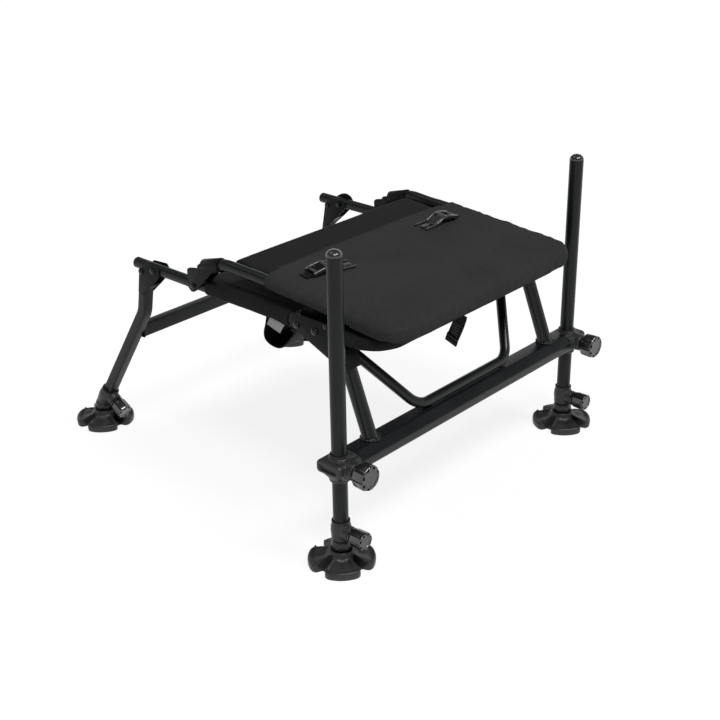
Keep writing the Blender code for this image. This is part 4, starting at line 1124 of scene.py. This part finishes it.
def build_clamps():
    """Moulded leg clamps and their hand knobs."""
    wing = [(-22.0, -8.5), (22.0, -8.5), (25.5, -5.0), (25.5, 9.0), (21.0, 13.2), (-21.0, 13.2)]
    wing = soft_outline(wing + [(-25.5, 9.0), (-25.5, -5.0)], 4.0)
    block = [(-13.0, 204.6), (13.0, 204.6), (28.2, 192.0), (28.2, 176.2)]
    block = soft_outline(block + [(-28.2, 176.2), (-28.2, 192.0)], 3.0)
    barrel = [(-27.0, 0.0), (-27.0, 14.9), (-24.5, 16.9), (-10.0, 17.2), (15.0, 17.2), (16.6, 16.2)]
    barrel += [(17.4, 15.0), (18.6, 15.0), (19.0, 15.6), (20.6, 15.6), (20.6, 0.0)]
    boss = [(0.0, 0.0), (0.0, 16.6), (20.0, 16.2), (33.0, 15.2), (35.4, 14.4)]
    boss += [(CLAMP_FACE, 13.4), (CLAMP_FACE, 0.0)]
    for label, side in SIDES:
        centre = (side * LEG_X, 0.0, CLAMP_Z)
        plate = []
        for out, a, b in ((-24.0, 1.0, 1.0), (23.0, 1.0, 1.0), (25.6, 0.96, 0.93), (26.8, 0.9, 0.82)):
            x = side * (LEG_X + out)
            plate.append([spot(x, y * a, CLAMP_Z + 2.0 + (z - 2.0) * b) for y, z in wing])
        shells = [plate, plate_rings(block, side * 291.2, side * (LEG_X - 6.0))]
        shells += [turned_rings(barrel, centre, UP), clamp_keel(side)]
        shells.append(turned_rings(boss, centre, FRONT))
        pocket = soft_outline([(-17.0, -3.4), (19.0, -3.4), (19.0, 6.6), (-17.0, 6.6)], 2.6)
        ends = ((LEG_X + 23.6, 0.9), (LEG_X + 30.0, 1.1))
        pocket = [[spot(side * x, y * s, CLAMP_Z + z * s) for y, z in pocket] for x, s in ends]
        bore = turned_rings([(-40.0, 12.9), (40.0, 12.9)], centre, UP)
        item = moulded("leg_clamp_body_" + label, shells, 0.75, 4, (pocket, bore))
        settle(item, plastic, "frame", "moulded_plastic", "leg_clamp_" + label)
        radius, length = CLAMP_KNOB
        rings = knob_rings(radius, CLAMP_FACE + KNOB_GAP, length, LEG_RADIUS, centre, FRONT, False)
        knob = lofted("clamp_hand_knob_" + label, rings, angle=32)
        settle(knob, knob_plastic, "clamp_knob_" + label, "moulded_plastic", "clamp_knob_" + label)


def petal_share(turn):
    """1 on a petal and 0 in a notch at a turn in radians, and degrees from the petal's middle."""
    away = abs(math.degrees(turn) % 90.0 - 45.0)
    return ease((38.0 - away) / 5.0), away


def foot_rings(centre):
    """Rings of the petal base from the cup's floor over the petals to the underside."""
    x, y, z = centre
    rows = []
    for turn in (-80, -65, -50, -36):
        reach = math.radians(turn)
        rows.append((CUP_RADIUS * math.cos(reach), z + CUP_RADIUS * math.sin(reach)) * 2)
    rows += [(15.8, 32.4) * 2, (16.6, 33.8) * 2, (17.8, 34.4) * 2, (19.2, 34.0) * 2, (20.2, 32.6) * 2]
    rows += [(21.2, 30.2, 20.6, 25.0), (23.0, 27.4, 21.6, 16.0), (26.0, 25.4, 24.0, 11.0)]
    rows += [(30.0, 24.0, 27.0, 9.8), (36.0, 22.6, 30.0, 9.4), (42.0, 20.8, 33.4, 9.2)]
    rows += [(47.0, 18.8, 36.0, 9.0), (50.0, 18.2, 37.8, 8.9), (51.6, 19.4, 38.6, 8.8)]
    rows += [(53.2, 19.8, 39.0, 8.7), (54.6, 18.8, 39.4, 8.5), (55.3, 16.8, 39.7, 8.2)]
    rows += [(55.5, 14.4, 39.8, 7.9), (55.2, 10.5, 39.8, 7.5), (54.9, 7.4, 39.8, 7.0)]
    rows += [(54.2, FLOOR_DROP, 39.2, FLOOR_DROP), (40.0, FLOOR_DROP, 33.0, FLOOR_DROP)]
    rows += [(20.0, FLOOR_DROP, 20.0, FLOOR_DROP)]
    rings = [[spot(x, y, z - CUP_RADIUS)]]
    for index, (petal_reach, petal_top, notch_reach, notch_top) in enumerate(rows):
        on_top = 9 <= index <= 18
        ring = []
        for step in range(240):
            turn = 2 * math.pi * step / 240
            share, away = petal_share(turn)
            corner = 1.0 - 0.34 * ease((away - 20.0) / 19.0) ** 2
            reach = notch_reach + (petal_reach - notch_reach) * share * corner
            height = notch_top + (petal_top - notch_top) * share
            if on_top:
                start = min(1.0, (index - 8) / 3)
                border = math.exp(-((away - 33.0) / 1.8) ** 2) * start
                middle = math.exp(-(away / 18.0) ** 2) * min(1.0, (18 - index) / 3)
                height += 2.8 * border * share - 2.6 * middle * start
                rib = ease((away - 41.6) / 1.6) * (1.0 - share)
                height += 0.5 * rib * max(0.0, petal_top - notch_top)
            ring.append(spot(x + reach * math.cos(turn), y + reach * math.sin(turn), height))
        rings.append(ring)
    rings.append([spot(x, y, FLOOR_DROP)])
    return rings


def ball_rings(centre, axis):
    """Rings of the ball under a collar, with a narrow neck up into it."""
    profile = [(-BALL_RADIUS, 0.0)] + dome_rows(range(-80, 33, 8), 0.0, BALL_RADIUS, BALL_RADIUS)
    return turned_rings(profile + [(9.4, 12.4), (12.0, 12.4), (12.0, 0.0)], centre, axis, 72)


def collar_shells(centre, axis, forward, boss_at, extra):
    """Barrel and knob boss of a foot's collar, and the point that the boss stands on."""
    barrel = ((10.4, 14.6), (11.6, 15.8), (20.0, 16.2), (28.0, 17.0), (36.0, 16.2))
    barrel += ((41.4, 14.4), (42.4, 14.4), (42.8, 15.3), (45.3, 15.3))
    profile = [(10.4, 0.0)] + [(along, radius + extra) for along, radius in barrel] + [(45.3, 0.0)]
    seat = Vector(centre) + axis * boss_at
    boss = [(0.0, 0.0), (0.0, 13.8), (17.0, 13.6), (18.0, 12.9), (19.0, 13.5), (21.2, 13.5)]
    boss += [(COLLAR_FACE, 12.4), (COLLAR_FACE, 0.0)]
    return [turned_rings(profile, centre, axis, 72), turned_rings(boss, seat, forward, 72)], seat


def build_feet():
    """Collar, ball, petal base and hand knob of each foot."""
    round_hole = round_section(12.9, 48)
    square_hole = soft_rectangle(20.7, 20.7, 2.6, 4)
    start = COLLAR_FACE + KNOB_GAP
    for label, side in SIDES:
        front = Vector((side * LEG_X, 0.0, BALL_Z))
        leg = "front_leg_" + label
        spots = [("front", front, UP, FRONT, FRONT_BOSS, round_hole, LEG_RADIUS, 0.0, leg)]
        rear, axis, ahead = rear_foot(side)
        spots.append(("rear", rear, axis, ahead, REAR_BOSS, square_hole, REAR_LEG / 2, 1.2, "rear_legs"))
        for end, centre, axis, ahead, boss_at, hole, leg_face, extra, body in spots:
            name = end + "_" + label
            shells, seat = collar_shells(centre, axis, ahead, boss_at, extra)
            bore = sections([centre + axis * 16.0, centre + axis * 52.0], hole, ACROSS)
            item = moulded("foot_collar_body_" + name, shells, 0.6, 3, (bore,))
            settle(item, plastic, body, "moulded_plastic", "foot_collar_" + name)
            ball = lofted("foot_ball_" + name, ball_rings(centre, axis), angle=40)
            settle(ball, ball_plastic, body, "moulded_plastic")
            base = lofted("foot_base_petals_" + name, foot_rings(centre), angle=48)
            settle(base, plastic, "foot_" + name, "moulded_plastic", "foot_base_" + name)
            rings = knob_rings(FOOT_KNOB[0], start, FOOT_KNOB[1], leg_face, seat, ahead, True)
            knob = lofted("foot_hand_knob_" + name, rings, angle=32)
            settle(knob, knob_plastic, "foot_knob_" + name, "moulded_plastic", "foot_knob_" + name)


def template(name, rings, angle, material):
    """Small shape to be copied, from rings of points in metres."""
    shape = bmesh.new()
    skin(shape, rings)
    item = new_mesh(name, shape, angle)
    item.data.materials.append(material)
    return item


def bolt_head(name, radius, dome, material):
    """Template of a domed bolt head with a thin washer edge, its seat at z = 0."""
    edge = 0.75
    rows = [(0.0, radius), (0.35, radius * 1.02), (0.7, radius), (edge, radius * 0.95)]
    rows += dome_rows(range(8, 88, 10), edge, dome - edge, radius * 0.95)
    rings = [[Vector((a, b, level)) * MM for a, b in round_section(reach, 24)] for level, reach in rows]
    return template(name, rings + [[Vector((0.0, 0.0, dome)) * MM]], 30, material)


def hex_nut(name, radius, height, shank, material):
    """Template of a six-sided nut with a chamfer and the bolt's end, its seat at z = 0."""
    def hexagon(turn, reach):
        flat = math.cos(math.pi / 6) / math.cos(turn % (math.pi / 3) - math.pi / 6)
        return min(reach, radius * flat)

    rings = []
    rows = ((0.0, radius * 0.93), (0.4, radius), (height - 0.5, radius), (height, radius * 0.9))
    rows += ((height, shank), (height + 0.9, shank), (height + 1.3, shank * 0.8))
    turns = [2 * math.pi * index / 48 for index in range(48)]
    for level, reach in rows:
        around = [(hexagon(turn, reach), turn) for turn in turns]
        rings.append([Vector((r * math.cos(t), r * math.sin(t), level)) * MM for r, t in around])
    return template(name, rings, 25, material)


def build_bolts():
    """Domed heads outside, nuts inside and shanks between, one mesh of each for a body."""
    front, rear, back = FRONT_PLATE[1], REAR_PLATE[1], BACK_PLATE
    pins = {
        "frame": (
            ("rail_bolt", RAIL_BOLT_Y, RAIL_Z, front, front, 6.0, 3.6, 4.6),
            ("stay_bolt", STAY_BOLT_Y, RAIL_Z, front, front + 5.3, 7.0, 5.4, 4.6),
            ("bracket_pin", STAY_BOLT_Y - 23.0, RAIL_Z + 14.5, front, front, 4.4, 2.2, 2.0),
            ("rear_pivot_bolt", REAR_PIVOT_Y, RAIL_Z, rear, rear, 6.0, 3.6, 4.6),
            ("backrest_bolt", BACK_PIVOT_Y, RAIL_Z, back, back, 5.4, 3.0, 4.6)),
        "rear_legs": (("rear_stop_pin", STOP_PIN_Y, STOP_PIN_Z, rear, rear, 6.0, 3.6, 2.0),),
    }
    for body, rows in pins.items():
        for kind, y, z, outer, inner, head, dome, nut in rows:
            shape = bolt_head("head_template", head, dome, steel)
            heads = [(spot(side * (RAIL_X + outer + 0.3), y, z), (side, 0, 0)) for label, side in SIDES]
            names = [kind + "_left", kind + "_right"]
            marks(kind + "_heads", shape, heads, body, "bolt_steel", *names)
            bpy.data.objects.remove(shape, do_unlink=True)
            shape = hex_nut("nut_template", 5.4, nut, 2.7, steel)
            nuts = [(spot(side * (RAIL_X - inner - 0.3), y, z), (-side, 0, 0)) for label, side in SIDES]
            marks(kind + "_nuts", shape, nuts, body, "bolt_steel")
            bpy.data.objects.remove(shape, do_unlink=True)
            shells = []
            for label, side in SIDES:
                ends = [(-inner - 1.0, 3.0), (outer + 1.0, 3.0)]
                shells.append(turned_rings(ends, (side * RAIL_X, y, z), (side, 0, 0), 24))
            shank = lofted(kind + "_shanks", *shells)
            settle(shank, steel, body, "bolt_steel")


def sling_half(y):
    """Half width of the seat cloth: round at the front, notched at the brackets."""
    if y < SLING_NOTCH_FRONT + 1.0:
        run = FRONT_RUN_Y + FRAME_BEND - max(y, FRONT_RUN_Y + 0.5)
        return RAIL_X - FRAME_BEND + math.sqrt(FRAME_BEND ** 2 - max(run, 0.0) ** 2)
    if y < SLING_NOTCH_REAR:
        return RAIL_X - 30.0
    if y < SLEEVE_REAR + 1.0:
        return RAIL_X
    return RAIL_X - 7.0 - 5.8 * ease((y - SLEEVE_REAR) / 6.0)


def sling_top(x, y):
    """Height of the seat cloth's upper side."""
    ends = min(1.0, (y - FRONT_RUN_Y) / 90.0)
    drop = SLING_SAG * ends * (1.0 - (x / RAIL_X) ** 2)
    crease = 0.7 * noise.noise(Vector((x * 0.02, y * 0.02, 1.0)))
    crease += 0.4 * noise.noise(Vector((x * 0.008, y * 0.06, 4.0)))
    return RAIL_Z + SLEEVE_RADIUS - 0.4 - drop + crease * min(1.0, (RAIL_X - abs(x)) / 30.0)


def build_sling():
    """Seat cloth: a sagging sheet and sleeves round the rails and the front run."""
    rows = []
    places = [FRONT_RUN_Y + step for step in (0, 2, 4, 8, 14, 22, 30, 38, 46, 54, 62)]
    places += [SLING_NOTCH_FRONT - 0.5, SLING_NOTCH_FRONT + 1.2] + list(range(60, 166, 8))
    places += [SLING_NOTCH_REAR - 1.0, SLING_NOTCH_REAR + 1.0] + list(range(172, 350, 8))
    places += [356.0, SLEEVE_REAR, SLEEVE_REAR + 1.5, 368.0, 371.0, 376.0, 383.0, SLING_REAR]
    for y in places:
        half = sling_half(y)
        spread = [-1.0 + 2.0 * step / 56 for step in range(57)]
        top = [spot(part * half, y, sling_top(part * half, y)) for part in spread]
        low = [spot(part * half, y, sling_top(part * half, y) - 2.0) for part in reversed(spread)]
        rows.append(top + low)
    shells = [rows]

    def sleeve(path, seed):
        outer = []
        for index in range(len(path)):
            ripple = []
            for a, b in round_section(1.0, 36):
                swell = 0.5 * noise.noise(Vector((index * 0.35, a * 1.5 + seed, b * 1.5)))
                ripple.append((a * (SLEEVE_RADIUS + swell), b * (SLEEVE_RADIUS + swell)))
            outer.append(ripple)
        return hollow(path, lambda index: outer[index], round_section(RAIL_RADIUS + 0.5, 36), UP)

    front = [point for point in frame_path(12) if point.y < FRONT_RUN_Y + FRAME_BEND + 1.0]
    left, right = front[0], front[-1]
    middle = [Vector((x, FRONT_RUN_Y, RAIL_Z)) for x in range(-180, 181, 12)]
    run = [Vector((left.x, SLING_NOTCH_FRONT, RAIL_Z))] + front[:13] + middle
    run += front[-13:] + [Vector((right.x, SLING_NOTCH_FRONT, RAIL_Z))]
    shells.append(sleeve(run, 0.0))
    for label, side in SIDES:
        path = [Vector((side * RAIL_X, SLING_NOTCH_REAR + step * 6.0, RAIL_Z)) for step in range(33)]
        path.append(Vector((side * RAIL_X, SLEEVE_REAR, RAIL_Z)))
        shells.append(sleeve(path, 10.0 + side))
    item = lofted("seat_sling_cloth", *shells, angle=55)
    settle(item, cloth, "frame", "woven_cloth", "seat_sling")
    hem = []
    for side in (-1.0, 1.0):
        x = RAIL_X - 22.0
        hem.append(([spot(side * x, y, sling_top(x, y) + 0.2) for y in range(168, 351, 6)], False))
    for inset in (4.0, 9.0):
        y = SLING_REAR - inset
        hem.append(([spot(x, y, sling_top(x, y) + 0.2) for x in range(-216, 217, 8)], False))
    y = FRONT_RUN_Y + 22.0
    hem.append(([spot(x, y, sling_top(x, y) + 0.2) for x in range(-196, 197, 8)], False))
    tree = path_tree(thread)
    sizes = (3.2, 2.5, 0.8, 0.15)
    stitching = beads("seat_hem_stitches", hem, tree, sizes, thread, "frame", "woven_cloth")


def strap_band(name, path, width, thick, normals, material):
    """Flat webbing along a path in millimetres, with a UV map in metres along and across."""
    path = [Vector(point) for point in path]
    shape = bmesh.new()
    layer = shape.loops.layers.uv.new("UVMap")
    profile = soft_rectangle(thick, width, thick * 0.45, 3)
    rings = sections(path, profile, normals)
    rows = [[shape.verts.new(point) for point in ring] for ring in rings]
    lengths = [0.0]
    for before, after in zip(path, path[1:]):
        lengths.append(lengths[-1] + (after - before).length)
    count = len(profile)
    for low, high, start, end in zip(rows, rows[1:], lengths, lengths[1:]):
        for index in range(count):
            follow = (index + 1) % count
            face = shape.faces.new((low[index], low[follow], high[follow], high[index]))
            sides = (profile[index][1], profile[follow][1], profile[follow][1], profile[index][1])
            for loop, side, along in zip(face.loops, sides, (start, start, end, end)):
                loop[layer].uv = (along * MM, side * MM)
    for row, along in ((rows[0], 0.0), (rows[-1], lengths[-1])):
        face = shape.faces.new(row)
        for loop, (a, b) in zip(face.loops, profile):
            loop[layer].uv = ((along + a) * MM, b * MM)
    item = new_mesh(name, shape, 50)
    item.data.materials.append(material)
    return item


def ray_top(item):
    """Function that gives the height of an object's upper side at a layout x and y."""
    graph = bpy.context.evaluated_depsgraph_get()
    tree = BVHTree.FromObject(item, graph)

    def height(x, y):
        hit = tree.ray_cast(spot(x, y, 600.0), Vector((0, 0, -1)))[0]
        return (hit.z - ORIGIN.z) / MM
    return height


def build_buckle(label, start, heading, top):
    """Buckle half: a webbing cage, two sprung arms and a guide, on a short strap sewn to the panel."""
    normal = Vector((0.0, -PANEL_RISE, 1.0)).normalized()
    ahead = Vector((*heading, PANEL_RISE * heading[1])).normalized()
    aside = normal.cross(ahead)
    x, y = start
    reach = [(x + heading[0] * run, y + heading[1] * run) for run in (-16, 0, 15, 30, 50, 70)]
    base = Vector((x, y, max(top(a, b) - PANEL_RISE * (b - y) for a, b in reach) + 0.4))

    def at(along, across, lift):
        return base + ahead * along + aside * across + normal * lift

    def rod(line, thick, width, corner, shift=0.0):
        path = eased([at(along, shift, lift) for along, lift in line], 2)
        return sections(path, soft_rectangle(thick, width, corner, 4), normal)

    def bar(along, lift):
        ends = [at(along, -13.0, lift), at(along, 13.0, lift)]
        return sections(ends, soft_rectangle(4.4, 5.4, 1.9, 4), normal)

    lifts = ((-18.0, 0.7), (-12.0, 0.7), (-4.0, 0.9), (2.0, 2.0))
    lifts += ((8.0, 5.4), (13.0, 8.6), (18.0, 10.2), (22.0, 10.4))
    path = eased([at(along, 0.0, lift) for along, lift in lifts], 2)
    strap = strap_band("buckle_webbing_" + label, path, 20.0, 1.5, normal, webbing)
    settle(strap, webbing, "backrest", "webbing", "buckle_strap_" + label)
    shells = [bar(1.0, 7.4), bar(12.5, 6.0), bar(23.0, 12.0)]
    cage = ((-5.0, 5.0), (5.0, 7.8), (16.0, 10.4), (27.0, 10.8))
    arm = ((18.0, 11.2), (28.0, 11.6), (36.0, 9.6), (44.0, 5.8))
    arm += ((50.0, 3.6), (58.0, 2.9), (79.0, 2.6))
    guide = ((22.0, 10.4), (30.0, 9.4), (37.0, 6.8), (44.0, 3.8), (51.0, 2.0))
    for shift in (-12.6, 12.6):
        shells.append(rod(cage, 7.6, 4.8, 2.1, shift))
        shells.append(rod(arm, 3.6, 4.2, 1.7, shift))
    shells.append(rod(guide, 2.2, 17.0, 1.0))
    shells.append(rod(((47.0, 2.4), (64.0, 2.0)), 2.2, 5.0, 1.0))
    shells.append(rod(((60.0, 2.2), (76.0, 2.0)), 2.4, 10.0, 1.1))
    item = moulded("buckle_half_" + label, shells, 0.55, 2)
    settle(item, buckle_plastic, "backrest", "moulded_plastic", "buckle_" + label)


def build_straps(pad):
    """Buckle halves, hanging strap with hem and stitches, elastic loop and blank tag."""
    top = ray_top(pad)
    build_buckle("left", (-192.0, 167.0), (0.98, -0.2), top)
    build_buckle("right", (169.0, 170.0), (-1.0, 0.04), top)
    tail = [(-40.0, -22.4, RAIL_Z - 7.6), (-40.0, -21.2, 352.5), (-39.6, -16.4, 339.0)]
    tail += [(-39.8, -11.2, 326.0), (-40.2, -5.8, 313.0), (-40.1, -3.6, 308.0), (-40.0, -2.6, 302.6)]
    tail = eased(tail, 2)
    outer = -ACROSS
    along = (tail[-1] - tail[0]).normalized()
    aside = along.cross(outer)
    item = strap_band("hanging_strap", tail, 24.0, 1.8, outer, webbing)
    settle(item, webbing, "frame", "webbing", "strap_tail")
    low = tail[-1] + (tail[-1] - tail[-2]).normalized() * 0.8
    turned_up = [tail[-1].lerp(tail[0], share) + outer * 2.0 for share in (0.24, 0.12)]
    turned_up.append(low + outer * 2.0)
    hem = strap_band("strap_hem", turned_up, 25.0, 1.9, outer, webbing)
    settle(hem, webbing, "frame", "webbing")
    zigzag = []
    for step in range(10):
        place = tail[-1].lerp(tail[0], 0.27 + 0.4 * step / 9) + outer * 1.1
        zigzag.append(spot(*(place + aside * (6.5 if step % 2 else -6.5))))
    edge = []
    for share in (0.05, 0.19):
        place = tail[-1].lerp(tail[0], share) + outer * 3.1
        edge.append(([spot(*(place + aside * run)) for run in range(-11, 12, 2)], False))
    tree = path_tree(strap_thread)
    lines = [(zigzag, False)] + edge
    sewn = beads("strap_stitches", lines, tree, (1.9, 2.0, 1.1, 0.2), strap_thread, "frame", "webbing")
    loop = [(238.0, 371.0), (240.0, 352.0), (243.0, 332.0), (251.0, 309.0), (244.0, 296.0)]
    loop += [(222.0, 291.5), (206.0, 296.0), (190.0, 313.0), (171.0, 337.0)]
    loop += [(164.0, 354.0), (162.0, 371.0)]
    loop = eased([(-200.0, y, z) for y, z in loop], 2)
    normals = []
    for before, after in zip(loop[:1] + loop[:-1], loop[1:] + loop[-1:]):
        normals.append((after - before).cross(ACROSS))
    item = strap_band("elastic_loop", loop, 58.0, 2.2, normals, elastic)
    settle(item, elastic, "frame", "webbing", "webbing_loop")
    rows = []
    for step in range(9):
        share = step / 8
        x = -RAIL_X - 8.6 + 2.6 * share - 0.8 * math.sin(math.pi * share)
        rear = Vector((x, 209.0 + 11.0 * share, 358.4 - 16.4 * share))
        fore = Vector((x, 176.0 + 14.0 * share, 353.8 - 20.0 * share))
        row = [rear.lerp(fore, part / 8) for part in range(9)]
        back = [point + ACROSS * 0.7 for point in reversed(row)]
        rows.append([spot(*point) for point in row + back])
    tag = lofted("blank_tag", rows, angle=50)
    settle(tag, label_cloth, "frame", "blank_label", "care_tag")


def build_pad_seams(pad):
    """Topstitching beside the panel's cross seam."""
    top = ray_top(pad)
    lines = []
    for y in (PANEL_REAR - 3.0, PANEL_REAR + 13.0):
        reach = range(-204, 205, 6)
        lines.append(([spot(x, y, top(x, y) + 0.15) for x in reach], False))
    y = STRIP_REAR - 9.0
    lines.append(([spot(x, y, top(x, y) + 0.15) for x in range(-198, 199, 6)], False))
    tree = path_tree(thread)
    beads("panel_topstitches", lines, tree, (3.4, 2.6, 0.8, 0.15), thread, "backrest", "woven_cloth")


place_camera()
bpy.context.scene.view_settings.view_transform = "Standard"
light_world()
lay_floor()
hang_lights()
pad = build_pad()
build_seat_frame()
build_back_frame()
build_front_frame()
build_front_brackets()
build_rear_frame()
build_back_brackets()
build_front_legs()
build_clamps()
build_feet()
build_bolts()
build_sling()
build_straps(pad)
build_pad_seams(pad)
